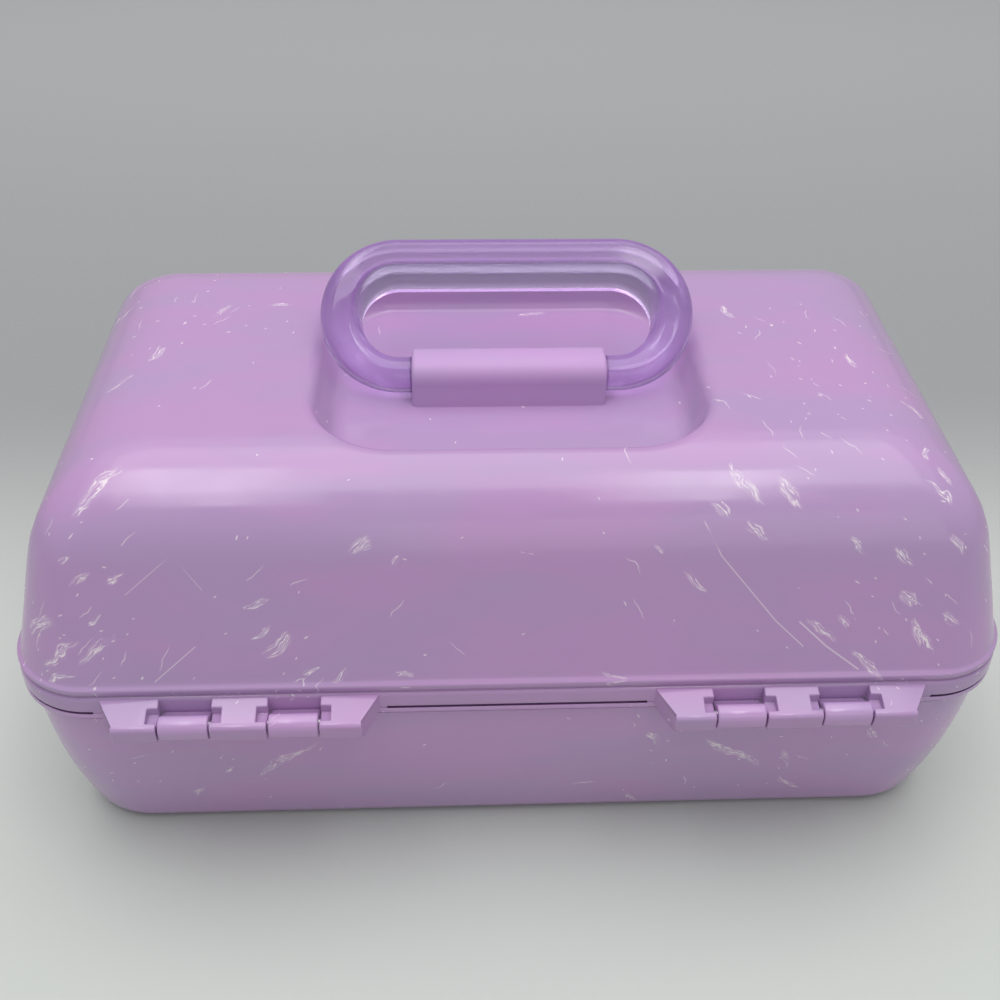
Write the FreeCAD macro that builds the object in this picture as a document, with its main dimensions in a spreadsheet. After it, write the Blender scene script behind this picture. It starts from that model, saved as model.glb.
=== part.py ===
import FreeCAD, Part
import math
import os
import types

import Sketcher

# Makeup case: domed hinged lid, bail handle, front latch, mirror and a tray that rises with the lid.
# Millimetres and degrees. +Z is up, the origin is the centre of the resting face,
# the latch is at -Y and the hinges are at +Y.

SIZES = [
    # Shell of the case
    ("case_length", 330.0),
    ("case_depth", 199.6),
    ("rim_corner", 27.0),
    ("shell_wall", 2.5),
    ("part_height", 75.5),
    ("part_gap", 0.5),
    # Base tub
    ("base_band", 2.6),
    ("base_step", 2.5),
    ("base_step_inset", 1.0),
    ("base_wall_inset", 2.0),
    ("base_draw_x", 4.0),
    ("base_draw_y", 11.7),
    ("foot_radius", 7.6),
    ("foot_corner", 27.0),
    ("tongue_wall", 1.2),
    ("tongue_rise", 2.6),
    ("tongue_gap", 0.4),
    ("tongue_notch_gap", 0.8),
    # Lid
    ("lid_top", 147.1),
    ("lid_band", 6.0),
    ("lip_inset", 1.0),
    ("lip_rise", 2.2),
    ("flare_rise", 2.6),
    ("lid_wall_inset", 2.1),
    ("lid_lean_x", 13.5),
    ("lid_lean_y", 23.1),
    ("lid_round", 36.4),
    ("shoulder_corner", 18.0),
    ("top_corner", 8.0),
    # Handle recess in the lid top
    ("recess_side_room", 7.2),
    ("recess_end_room", 46.3),
    ("recess_corner", 28.0),
    ("recess_floor", 133.6),
    ("recess_lean", 29.0),
    ("recess_lean_y", 12.0),
    ("recess_wall", 2.5),
    ("recess_edge_round", 3.0),
    ("recess_edge_angle", 75.0),
    ("recess_floor_round", 3.0),
    # Hinges
    ("hinge_out", 5.7),
    ("barrel_radius", 4.5),
    ("hinge_pin_radius", 1.6),
    ("hinge_end_room", 36.9),
    ("inner_finger", 12.25),
    ("middle_finger", 17.85),
    ("outer_finger", 13.6),
    ("knuckle_width", 15.7),
    ("knuckle_gap", 0.5),
    ("finger_top_drop", 0.3),
    ("finger_foot_rise", 0.35),
    ("hinge_gusset", 9.0),
    ("leaf_slant_in", 6.0),
    ("leaf_slant_out", 5.4),
    ("finger_front_rise", 3.7),
    ("finger_edge", 0.9),
    ("notch_width", 3.4),
    ("notch_behind", 2.9),
    ("notch_ahead", 2.1),
    ("notch_rise", 1.9),
    # Handle bail and its bridge
    ("bail_y", 5.0),
    ("bail_z", 140.8),
    ("bail_lean", 52.0),
    ("bail_height", 40.5),
    ("bail_half_width", 58.4),
    ("bail_bar_radius", 6.2),
    ("bail_side_half", 7.2),
    ("bail_grip_half", 6.9),
    ("bail_grip_depth", 11.0),
    ("bail_edge", 4.6),
    ("bridge_half_length", 33.0),
    ("bridge_wall", 2.2),
    ("bridge_gap", 0.3),
    ("bridge_end_round", 1.8),
    ("bridge_leg_width", 14.0),
    ("bridge_leg_spacing", 36.0),
    ("bridge_leg_drop", 3.0),
    ("bridge_leg_gap", 0.15),
    ("bridge_barb", 0.8),
    # Front latch
    ("latch_width", 52.0),
    ("latch_out", 4.6),
    ("latch_axis_rise", 4.4),
    ("latch_knuckle", 3.2),
    ("latch_pin_radius", 1.5),
    ("latch_ear", 4.0),
    ("latch_ear_gap", 0.4),
    ("latch_plate", 2.8),
    ("latch_drop", 25.0),
    ("latch_lip", 3.4),
    ("latch_lip_height", 4.0),
    ("latch_air", 1.0),
    ("keeper_nose", 1.6),
    ("keeper_height", 2.4),
    ("keeper_width", 40.0),
    ("keeper_drop", 6.6),
    ("hook_gap", 0.3),
    ("hook_height", 2.2),
    # Mirror in the lid
    ("mirror_half_y", 44.0),
    ("mirror_corner", 8.0),
    ("mirror_thickness", 2.4),
    ("mirror_gap", 0.2),
    ("frame_side_room", 53.0),
    ("frame_end", 20.0),
    ("frame_lip", 3.0),
    ("frame_edge", 0.6),
    ("frame_plate", 2.2),
    ("frame_under_boss", 4.2),
    ("frame_corner", 11.0),
    ("post_radius", 4.0),
    ("post_from_end", 9.0),
    ("post_y", 34.0),
    ("screw_radius", 1.5),
    ("screw_head_radius", 3.0),
    ("screw_head", 1.8),
    ("screw_length", 9.0),
    ("screw_tip_room", 0.5),
    # Tray
    ("tray_side_room", 19.0),
    ("tray_front_room", 13.8),
    ("tray_back_room", 49.8),
    ("tray_floor_z", 49.0),
    ("tray_height", 38.0),
    ("tray_corner", 10.0),
    ("tray_wall", 1.8),
    ("divider_wall", 1.6),
    ("tray_back_row", 58.0),
    ("tray_well_corner", 5.0),
    # Swing arms, links and rivets
    ("arm_back_room", 39.8),
    ("arm_pivot_z", 60.0),
    ("arm_front_room", 97.8),
    ("arm_reach", 60.0),
    ("arm_rise_angle", 8.0),
    ("link_reach", 36.0),
    ("arm_half_width", 4.0),
    ("arm_thickness", 2.2),
    ("link_half_width", 4.0),
    ("link_thickness", 1.8),
    ("layer_gap", 0.4),
    ("rivet_radius", 2.0),
    ("rivet_head_radius", 3.4),
    ("rivet_head", 1.2),
    ("rivet_play", 0.08),
    ("boss_radius", 5.0),
    ("rivet_depth", 5.0),
    ("rivet_tip_room", 0.3),
]

# How far a feature reaches into the wall that carries it, so that the two join.
ROOT = 0.2
# Shares of the base wall's height, and angles in degrees, at which the shells have a section.
BASE_SHARES = (0.0, 0.3, 0.6)
FOOT_ANGLES = (0, 30, 60, 90)
DOME_STEPS = 6
ROUND_STEPS = 4
# Angles round the end of the bail at which it has a section, from the bridge to the grip.
BAIL_ANGLES = (-90, -60, -30, 0, 30, 60, 90)
# Corner radius of the bail's bar, as a share of the bar's radius, so that its section is nearly round.
ROUND_BAR = 0.97
FRONT_WELLS = 4
BACK_WELLS = 2
SIDES = (("left", -1), ("right", 1))

doc = FreeCAD.newDocument("makeup_case")
sheet = doc.addObject("Spreadsheet::Sheet", "sizes")
for row, (name, value) in enumerate(SIZES, start=1):
    sheet.set("A%d" % row, name)
    sheet.set("B%d" % row, str(value))
    sheet.setAlias("B%d" % row, name)
doc.recompute()


class Size:
    """A size worked out from the sheet: the expression that binds it and its number now."""

    def __init__(self, text, value):
        self.text = text
        self.value = value

    def joined(self, sign, other, value):
        return Size("(%s %s %s)" % (self.text, sign, as_size(other).text), value)

    def __add__(self, other):
        return self.joined("+", other, self.value + as_size(other).value)

    def __sub__(self, other):
        return self.joined("-", other, self.value - as_size(other).value)

    def __mul__(self, other):
        return self.joined("*", other, self.value * as_size(other).value)

    def __truediv__(self, other):
        return self.joined("/", other, self.value / as_size(other).value)

    def __radd__(self, other):
        return as_size(other) + self

    def __rsub__(self, other):
        return as_size(other) - self

    def __rmul__(self, other):
        return as_size(other) * self

    def __neg__(self):
        return self * -1


def as_size(item):
    return item if isinstance(item, Size) else Size("(%r)" % float(item), float(item))


def cosine(angle):
    angle = as_size(angle)
    return Size("cos(%s)" % angle.text, math.cos(math.radians(angle.value)))


def sine(angle):
    angle = as_size(angle)
    return Size("sin(%s)" % angle.text, math.sin(math.radians(angle.value)))


def tangent(angle):
    angle = as_size(angle)
    return Size("tan(%s)" % angle.text, math.tan(math.radians(angle.value)))


dim = types.SimpleNamespace(**{name: Size("sizes." + name, value) for name, value in SIZES})


# Sketches, features and primitives whose sizes are bound to the sheet

def new_body(label):
    body = doc.addObject("PartDesign::Body", label)
    body.Label = label
    return body


def origin_plane(body, role):
    return next(item for item in body.Origin.OriginFeatures if item.Role == role)


def new_sketch(body, name, role, offset=0.0):
    sketch = body.newObject("Sketcher::SketchObject", name)
    sketch.AttachmentSupport = [(origin_plane(body, role), "")]
    sketch.MapMode = "FlatFace"
    sketch.setExpression("AttachmentOffset.Base.z", as_size(offset).text)
    return sketch


def bind(sketch, constraint, name, length):
    index = sketch.addConstraint(constraint)
    sketch.renameConstraint(index, name)
    sketch.setExpression("Constraints." + name, length.text)


def pin_point(sketch, geometry, point, across, up, tag):
    across = as_size(across)
    up = as_size(up)
    constraint = Sketcher.Constraint("DistanceX", -1, 1, geometry, point, across.value)
    bind(sketch, constraint, tag + "_across", across)
    constraint = Sketcher.Constraint("DistanceY", -1, 1, geometry, point, up.value)
    bind(sketch, constraint, tag + "_up", up)


def flat(across, up):
    return FreeCAD.Vector(as_size(across).value, as_size(up).value, 0)


def arc_edge(centre, radius, start, end):
    circle = Part.Circle(centre, FreeCAD.Vector(0, 0, 1), radius)
    return Part.ArcOfCircle(circle, start, end)


def draw_circle(sketch, across, up, radius, tag):
    radius = as_size(radius)
    edge = Part.Circle(flat(across, up), FreeCAD.Vector(0, 0, 1), radius.value)
    index = sketch.addGeometry(edge, False)
    pin_point(sketch, index, 3, across, up, tag)
    bind(sketch, Sketcher.Constraint("Radius", index, radius.value), tag + "_round", radius)


def draw_rounded_rectangle(sketch, half_x, half_y, corner, centre=None, tag="ring"):
    """Four lines and four corner arcs, about the sketch's origin or about a centre."""
    half_x, half_y, corner = as_size(half_x), as_size(half_y), as_size(corner)
    middle = flat(*centre) if centre else flat(0, 0)
    run_x = half_x.value - corner.value
    run_y = half_y.value - corner.value
    first = sketch.GeometryCount
    for quarter, (sign_x, sign_y) in enumerate(((1, -1), (1, 1), (-1, 1), (-1, -1))):
        hub = middle + FreeCAD.Vector(sign_x * run_x, sign_y * run_y, 0)
        start = math.radians(90 * quarter - 90)
        arc = arc_edge(hub, corner.value, start, start + math.pi / 2)
        sketch.addGeometry(arc, False)
    arcs = [first + quarter for quarter in range(4)]
    for quarter in range(4):
        begin = sketch.Geometry[arcs[quarter]].EndPoint
        end = sketch.Geometry[arcs[(quarter + 1) % 4]].StartPoint
        line = sketch.addGeometry(Part.LineSegment(begin, end), False)
        sketch.addConstraint(Sketcher.Constraint("Tangent", arcs[quarter], 2, line, 1))
        sketch.addConstraint(Sketcher.Constraint("Tangent", line, 2, arcs[(quarter + 1) % 4], 1))
        direction = "Vertical" if quarter % 2 == 0 else "Horizontal"
        sketch.addConstraint(Sketcher.Constraint(direction, line))
        if quarter:
            sketch.addConstraint(Sketcher.Constraint("Equal", arcs[0], arcs[quarter]))
    bind(sketch, Sketcher.Constraint("Radius", arcs[0], corner.value), tag + "_corner", corner)
    reach_x = as_size(centre[0]) + half_x if centre else half_x
    reach_y = as_size(centre[1]) + half_y if centre else half_y
    right, top = first + 4, first + 5
    constraint = Sketcher.Constraint("DistanceX", -1, 1, right, 1, reach_x.value)
    bind(sketch, constraint, tag + "_reach_x", reach_x)
    constraint = Sketcher.Constraint("DistanceY", -1, 1, top, 1, reach_y.value)
    bind(sketch, constraint, tag + "_reach_y", reach_y)
    left, bottom = first + 6, first + 7
    constraint = Sketcher.Constraint("DistanceX", left, 1, right, 1, 2 * half_x.value)
    bind(sketch, constraint, tag + "_width", half_x * 2)
    constraint = Sketcher.Constraint("DistanceY", bottom, 1, top, 1, 2 * half_y.value)
    bind(sketch, constraint, tag + "_depth", half_y * 2)


def draw_polygon(sketch, points, tag="corner"):
    first = sketch.GeometryCount
    count = len(points)
    for index, point in enumerate(points):
        after = points[(index + 1) % count]
        sketch.addGeometry(Part.LineSegment(flat(*point), flat(*after)), False)
    for index, (across, up) in enumerate(points):
        before = first + (index - 1) % count
        sketch.addConstraint(Sketcher.Constraint("Coincident", before, 2, first + index, 1))
        pin_point(sketch, first + index, 1, across, up, "%s%d" % (tag, index))


def touch_angle(centre, radius, point, turn):
    """Angle on a circle where the line from an outside point touches it."""
    away = point - centre
    return math.atan2(away.y, away.x) + turn * math.acos(radius / away.Length)


def draw_lug(sketch, axis, radius, roots):
    """A round end about an axis, with tangent lines to the first and the last of its root points.

    The arc runs anticlockwise from the last root's side to the first root's side.
    """
    radius = as_size(radius)
    centre = flat(*axis)
    points = [flat(*root) for root in roots]
    start = touch_angle(centre, radius.value, points[-1], 1)
    stop = touch_angle(centre, radius.value, points[0], -1)
    arc = sketch.addGeometry(arc_edge(centre, radius.value, start, stop), False)
    drawn = sketch.Geometry[arc]
    before = sketch.addGeometry(Part.LineSegment(drawn.EndPoint, points[0]), False)
    sketch.addConstraint(Sketcher.Constraint("Tangent", arc, 2, before, 1))
    for index, (across, up) in enumerate(roots):
        pin_point(sketch, before, 2, across, up, "root%d" % index)
        last = index == len(roots) - 1
        after = drawn.StartPoint if last else points[index + 1]
        side = sketch.addGeometry(Part.LineSegment(points[index], after), False)
        sketch.addConstraint(Sketcher.Constraint("Coincident", before, 2, side, 1))
        before = side
    sketch.addConstraint(Sketcher.Constraint("Tangent", before, 2, arc, 1))
    pin_point(sketch, arc, 3, axis[0], axis[1], "axis")
    bind(sketch, Sketcher.Constraint("Radius", arc, radius.value), "barrel", radius)


def draw_bar(sketch, start, end, half_width):
    """A straight bar with round ends about two pivots."""
    half_width = as_size(half_width)
    begin, finish = flat(*start), flat(*end)
    heading = math.atan2(finish.y - begin.y, finish.x - begin.x)
    quarter = math.pi / 2
    far = arc_edge(finish, half_width.value, heading - quarter, heading + quarter)
    near = arc_edge(begin, half_width.value, heading + quarter, heading + 3 * quarter)
    sketch.addGeometry(far, False)
    sketch.addGeometry(near, False)
    sketch.addGeometry(Part.LineSegment(far.EndPoint, near.StartPoint), False)
    sketch.addGeometry(Part.LineSegment(near.EndPoint, far.StartPoint), False)
    sketch.addConstraint(Sketcher.Constraint("Tangent", 0, 2, 2, 1))
    sketch.addConstraint(Sketcher.Constraint("Tangent", 2, 2, 1, 1))
    sketch.addConstraint(Sketcher.Constraint("Tangent", 1, 2, 3, 1))
    sketch.addConstraint(Sketcher.Constraint("Tangent", 3, 2, 0, 1))
    pin_point(sketch, 0, 3, end[0], end[1], "far")
    pin_point(sketch, 1, 3, start[0], start[1], "near")
    bind(sketch, Sketcher.Constraint("Radius", 0, half_width.value), "half_width", half_width)


def pad(body, sketch, name, length):
    feature = body.newObject("PartDesign::Pad", name)
    feature.Profile = sketch
    feature.setExpression("Length", as_size(length).text)
    return feature


def pocket(body, sketch, name, length, upwards=True):
    """A cut along the sketch's normal, or against it."""
    feature = body.newObject("PartDesign::Pocket", name)
    feature.Profile = sketch
    feature.Reversed = upwards
    feature.setExpression("Length", as_size(length).text)
    return feature


def loft(body, sections, name, kind="Additive", ruled=False):
    feature = body.newObject("PartDesign::%sLoft" % kind, name)
    feature.Profile = sections[0]
    feature.Sections = sections[1:]
    feature.Ruled = ruled
    return feature


def mirror_across(body, features, name):
    """Repeat features on the other side of the plane through Y and Z."""
    feature = body.newObject("PartDesign::Mirrored", name)
    feature.Originals = features
    feature.MirrorPlane = (origin_plane(body, "YZ_Plane"), [""])
    body.Tip = feature
    return feature


def round_edges(body, name, radius, chosen):
    """Round the edges of the body's last feature whose bounding boxes pass a test."""
    doc.recompute()
    last = body.Tip
    edges = enumerate(last.Shape.Edges, start=1)
    names = ["Edge%d" % number for number, edge in edges if chosen(edge.BoundBox)]
    feature = body.newObject("PartDesign::Fillet", name)
    feature.Base = (last, names)
    feature.setExpression("Radius", radius.text)
    return feature


def ring_section(body, name, height, half_x, half_y, corner):
    sketch = new_sketch(body, name, "XY_Plane", height)
    draw_rounded_rectangle(sketch, half_x, half_y, corner)
    return sketch


def rod(name, start, radius, length, along="X"):
    """A cylinder from a start point along X or Z."""
    item = doc.addObject("Part::Cylinder", name)
    item.setExpression("Radius", as_size(radius).text)
    item.setExpression("Height", as_size(length).text)
    turn = FreeCAD.Rotation(FreeCAD.Vector(0, 1, 0), 90 if along == "X" else 0)
    item.Placement = FreeCAD.Placement(FreeCAD.Vector(), turn)
    for axis, place in zip("xyz", start):
        item.setExpression("Placement.Base." + axis, as_size(place).text)
    return item


def fused(name, pieces):
    joined = doc.addObject("Part::MultiFuse", name)
    joined.Shapes = pieces
    return joined


def rivet(name, sign, centre_y, centre_z, stations, radii):
    """Cylinders end to end along X, from the first station outwards on one side of the case."""
    pieces = []
    for index, radius in enumerate(radii):
        inner, outer = as_size(stations[index]), as_size(stations[index + 1])
        start = (inner if sign > 0 else -outer, centre_y, centre_z)
        pieces.append(rod("%s_%d" % (name, index), start, radius, outer - inner))
    return fused(name, pieces)


def group(label, pieces):
    item = doc.addObject("Part::Compound", label)
    item.Label = label
    item.Links = pieces
    return item


# Levels and places that several pieces share

rim_x = dim.case_length / 2
rim_y = dim.case_depth / 2
base_top = dim.part_height - dim.part_gap / 2
lid_foot = dim.part_height + dim.part_gap / 2
base_wall_top = base_top - dim.base_band - dim.base_step
ledge_z = lid_foot + dim.lid_band
lid_rim_inset = dim.lip_inset + dim.shell_wall
hinge_y = rim_y + dim.hinge_out
hinge_z = dim.part_height
latch_y = -(rim_y + dim.latch_out)
latch_z = lid_foot + dim.latch_axis_rise
bridge_inner = dim.bail_bar_radius + dim.bridge_gap
bridge_outer = bridge_inner + dim.bridge_wall
recess_half_x = dim.bail_half_width + dim.recess_side_room
recess_half_y = rim_y - dim.recess_end_room
frame_top = dim.recess_floor - dim.recess_wall - dim.frame_under_boss
frame_low = frame_top - dim.frame_plate
mirror_low = frame_low - dim.mirror_thickness
frame_half_x = rim_x - dim.frame_side_room
mirror_half_x = frame_half_x - dim.frame_end
post_x = frame_half_x - dim.post_from_end
tray_half_x = rim_x - dim.tray_side_room
tray_half_y = rim_y - (dim.tray_front_room + dim.tray_back_room) / 2
tray_y = (dim.tray_front_room - dim.tray_back_room) / 2
hinge_widths = dim.inner_finger + dim.middle_finger + dim.outer_finger + dim.knuckle_width * 2
hinge_start = rim_x - dim.hinge_end_room - hinge_widths - dim.knuckle_gap * 4

# Layers beside the tray's end, going outwards: inner heads, arms, links, outer heads
head_start = tray_half_x + dim.layer_gap
arm_start = head_start + dim.rivet_head + dim.layer_gap
arm_end = arm_start + dim.arm_thickness
link_start = arm_end + dim.layer_gap
link_end = link_start + dim.link_thickness
boss_face = link_start

# The rear arm, the link and the line between the hinge and the arm's pivot are a parallelogram.
arm_step_y = -cosine(dim.arm_rise_angle)
arm_step_z = sine(dim.arm_rise_angle)
arm_rear_y = rim_y - dim.arm_back_room
arm_front_y = dim.arm_front_room - rim_y
tray_pivot_z = dim.arm_pivot_z + arm_step_z * dim.arm_reach
tray_rear_y = arm_rear_y + arm_step_y * dim.arm_reach
tray_front_y = arm_front_y + arm_step_y * dim.arm_reach
link_arm_y = arm_rear_y + arm_step_y * dim.link_reach
link_arm_z = dim.arm_pivot_z + arm_step_z * dim.link_reach
link_lid_y = hinge_y + arm_step_y * dim.link_reach
link_lid_z = hinge_z + arm_step_z * dim.link_reach


def base_sections(body, name, offset):
    """Sections of the tub from its wall's top to the resting face, drawn in by an offset."""
    def wall_ring(label, share):
        square = as_size(share) * share
        inset = dim.base_wall_inset + offset
        height = base_wall_top * (1 - as_size(share))
        half_x = rim_x - inset - dim.base_draw_x * square
        half_y = rim_y - inset - dim.base_draw_y * square
        return ring_section(body, label, height, half_x, half_y, dim.foot_corner - offset)

    foot_share = 1 - dim.foot_radius / base_wall_top
    draw = foot_share * foot_share
    wall = [wall_ring("%s_wall%d" % (name, index), share) for index, share in enumerate(BASE_SHARES)]
    foot = []
    for index, angle in enumerate(FOOT_ANGLES):
        turn = dim.foot_radius - (dim.foot_radius - offset) * cosine(angle)
        height = dim.foot_radius - (dim.foot_radius - offset) * sine(angle)
        half_x = rim_x - dim.base_wall_inset - dim.base_draw_x * draw - turn
        half_y = rim_y - dim.base_wall_inset - dim.base_draw_y * draw - turn
        label = "%s_foot%d" % (name, index)
        foot.append(ring_section(body, label, height, half_x, half_y, dim.foot_corner - offset))
    return wall + foot[:1], foot


def hinge_stations():
    """Where the fingers and the knuckles of one hinge start, going outwards."""
    first_knuckle = hinge_start + dim.inner_finger + dim.knuckle_gap
    middle = first_knuckle + dim.knuckle_width + dim.knuckle_gap
    second_knuckle = middle + dim.middle_finger + dim.knuckle_gap
    outer = second_knuckle + dim.knuckle_width + dim.knuckle_gap
    return first_knuckle, middle, second_knuckle, outer


def hinge_pin_ends():
    _, _, _, outer = hinge_stations()
    return hinge_start + dim.shell_wall, outer + dim.outer_finger - dim.shell_wall


def make_base_tub():
    body = new_body("base_tub")
    wall, foot = base_sections(body, "outside", as_size(0))
    loft(body, wall, "outer_wall")
    loft(body, foot, "outer_foot")
    step = ring_section(body, "step_ring", base_wall_top, rim_x - dim.base_step_inset,
                        rim_y - dim.base_step_inset, dim.rim_corner)
    pad(body, step, "rim_step", dim.base_step)
    band = ring_section(body, "band_ring", base_top - dim.base_band, rim_x, rim_y, dim.rim_corner)
    pad(body, band, "rim_band", dim.base_band)
    wall, foot = base_sections(body, "inside", dim.shell_wall)
    loft(body, wall, "inner_wall", "Subtractive")
    loft(body, foot, "inner_foot", "Subtractive")
    mouth_inset = dim.base_wall_inset + dim.shell_wall
    mouth = ring_section(body, "mouth_ring", base_wall_top, rim_x - mouth_inset, rim_y - mouth_inset,
                         dim.foot_corner - dim.shell_wall)
    pocket(body, mouth, "mouth", dim.base_band + dim.base_step)
    # Tongue inside the lid's rim
    tongue = new_sketch(body, "tongue_ring", "XY_Plane", base_top - dim.base_band)
    tongue_inset = lid_rim_inset + dim.tongue_gap
    for tag, inset in (("outer", tongue_inset), ("inner", tongue_inset + dim.tongue_wall)):
        draw_rounded_rectangle(tongue, rim_x - inset, rim_y - inset, dim.rim_corner - inset, tag=tag)
    pad(body, tongue, "tongue", dim.base_band + dim.tongue_rise)
    # Notches in the tongue where the lid's stud bosses come down
    notch = new_sketch(body, "tongue_notch_ring", "XY_Plane", base_top)
    notch_half = dim.boss_radius + dim.tongue_notch_gap
    near, far = rim_x - tongue_inset - dim.tongue_wall - ROOT, rim_x - tongue_inset + ROOT
    draw_polygon(notch, [(near, link_lid_y - notch_half), (far, link_lid_y - notch_half),
                         (far, link_lid_y + notch_half), (near, link_lid_y + notch_half)])
    cut = pocket(body, notch, "tongue_notch", dim.tongue_rise + ROOT)
    mirror_across(body, [cut], "left_tongue_notch")
    # Knuckles that stand in the windows of the lid's hinge leaves
    first, _, second, _ = hinge_stations()
    knuckle_top = base_top - dim.finger_foot_rise
    inside = rim_y - dim.base_wall_inset - ROOT
    low = dim.part_height - dim.hinge_gusset
    roots = [(rim_y - ROOT, knuckle_top), (inside - ROOT, knuckle_top), (inside - ROOT, low), (inside, low)]
    knuckles = []
    for index, start in enumerate((first, second)):
        sketch = new_sketch(body, "knuckle_side%d" % index, "YZ_Plane", start)
        draw_lug(sketch, (hinge_y, hinge_z), dim.barrel_radius, roots)
        knuckles.append(pad(body, sketch, "knuckle%d" % index, dim.knuckle_width))
    mirror_across(body, knuckles, "left_knuckles")
    bore = new_sketch(body, "pin_bore_ring", "YZ_Plane", -rim_x)
    draw_circle(bore, hinge_y, hinge_z, dim.hinge_pin_radius + dim.rivet_play, "bore")
    pocket(body, bore, "pin_bore", rim_x * 2)
    # Keeper that the latch snaps over
    keeper = new_sketch(body, "keeper_side", "YZ_Plane", -dim.keeper_width / 2)
    nose_z = base_top - dim.keeper_drop
    inner_y = -(rim_y - dim.base_wall_inset) + ROOT
    nose_y = -(rim_y + dim.keeper_nose)
    draw_polygon(keeper, [(inner_y, nose_z), (nose_y, nose_z), (nose_y, nose_z + dim.keeper_height),
                          (inner_y, nose_z + dim.keeper_height * 2)])
    pad(body, keeper, "keeper", dim.keeper_width)
    # Bosses for the swing arms' pivots
    bosses = []
    boss_length = rim_x - dim.base_wall_inset - dim.shell_wall / 2 - boss_face
    for index, place in enumerate((arm_rear_y, arm_front_y)):
        ring = new_sketch(body, "boss_ring%d" % index, "YZ_Plane", boss_face)
        draw_circle(ring, place, dim.arm_pivot_z, dim.boss_radius, "boss")
        bosses.append(pad(body, ring, "boss%d" % index, boss_length))
        hole = new_sketch(body, "boss_hole%d" % index, "YZ_Plane", boss_face)
        draw_circle(hole, place, dim.arm_pivot_z, dim.rivet_radius, "hole")
        bosses.append(pocket(body, hole, "boss_bore%d" % index, dim.rivet_depth + dim.rivet_tip_room))
    mirror_across(body, bosses, "left_bosses")
    return body


def lid_wall_inset_at(height, lean):
    rise = height - (ledge_z + dim.lip_rise + dim.flare_rise)
    return dim.lid_wall_inset + rise * tangent(lean)


def lid_sections(body, name, offset):
    """Sections of the lid's leaning wall and of its round top, drawn in by an offset."""
    mean_lean = (dim.lid_lean_x + dim.lid_lean_y) / 2
    shoulder_z = dim.lid_top - dim.lid_round * (1 - sine(mean_lean))
    shoulder_x = lid_wall_inset_at(shoulder_z, dim.lid_lean_x)
    shoulder_y = lid_wall_inset_at(shoulder_z, dim.lid_lean_y)
    dome = []
    for step in range(DOME_STEPS):
        share = step / (DOME_STEPS - 1)
        angle = mean_lean + (90 - mean_lean) * share
        turn = dim.lid_round * cosine(mean_lean) - (dim.lid_round - offset) * cosine(angle)
        height = dim.lid_top - dim.lid_round + (dim.lid_round - offset) * sine(angle)
        corner = dim.shoulder_corner + (dim.top_corner - dim.shoulder_corner) * share - offset
        dome.append(ring_section(body, "%s_dome%d" % (name, step), height, rim_x - shoulder_x - turn,
                                 rim_y - shoulder_y - turn, corner))
    foot_z = ledge_z + dim.lip_rise + dim.flare_rise
    foot_inset = dim.lid_wall_inset + offset
    foot = ring_section(body, name + "_wall_foot", foot_z, rim_x - foot_inset, rim_y - foot_inset,
                        dim.rim_corner - foot_inset)
    return foot, dome


def recess_ring(body, name, height, shift, wall=0.0):
    """Outline of the handle recess at a height, moved out from its edge at the lid's top and by a wall."""
    steeper = tangent(dim.recess_lean_y) / tangent(dim.recess_lean)
    half_x = recess_half_x + shift + wall
    half_y = recess_half_y + shift * steeper + wall
    return ring_section(body, name, height, half_x, half_y, dim.recess_corner + shift + wall)


def recess_wall_shift(height):
    return (height - dim.lid_top) * tangent(dim.recess_lean)


def recess_sections(body):
    """Sections of the recess going upwards, close together round its foot and its edge."""
    swing = 90 - dim.recess_lean
    foot_shift = recess_wall_shift(dim.recess_floor) - dim.recess_floor_round * tangent(swing / 2)
    bend = dim.recess_edge_angle - dim.recess_lean
    edge_foot = dim.lid_top - dim.recess_edge_round * (sine(dim.recess_edge_angle) - sine(dim.recess_lean))
    foot = []
    edge = []
    for step in range(ROUND_STEPS):
        share = step / (ROUND_STEPS - 1)
        angle = swing * share
        height = dim.recess_floor + dim.recess_floor_round * (1 - cosine(angle))
        shift = foot_shift + dim.recess_floor_round * sine(angle)
        foot.append(recess_ring(body, "recess_foot%d" % step, height, shift))
        angle = dim.recess_lean + bend * share
        height = edge_foot + dim.recess_edge_round * (sine(angle) - sine(dim.recess_lean))
        roll = dim.recess_edge_round * (cosine(dim.recess_lean) - cosine(angle))
        shift = recess_wall_shift(edge_foot) + roll
        edge.append(recess_ring(body, "recess_edge%d" % step, height, shift))
    # The edge runs on above the lid's top, so that it crosses the top and doesn't just touch it
    mouth = recess_ring(body, "recess_mouth", height + ROOT, shift + ROOT * tangent(dim.recess_edge_angle))
    return foot + edge + [mouth]


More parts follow.
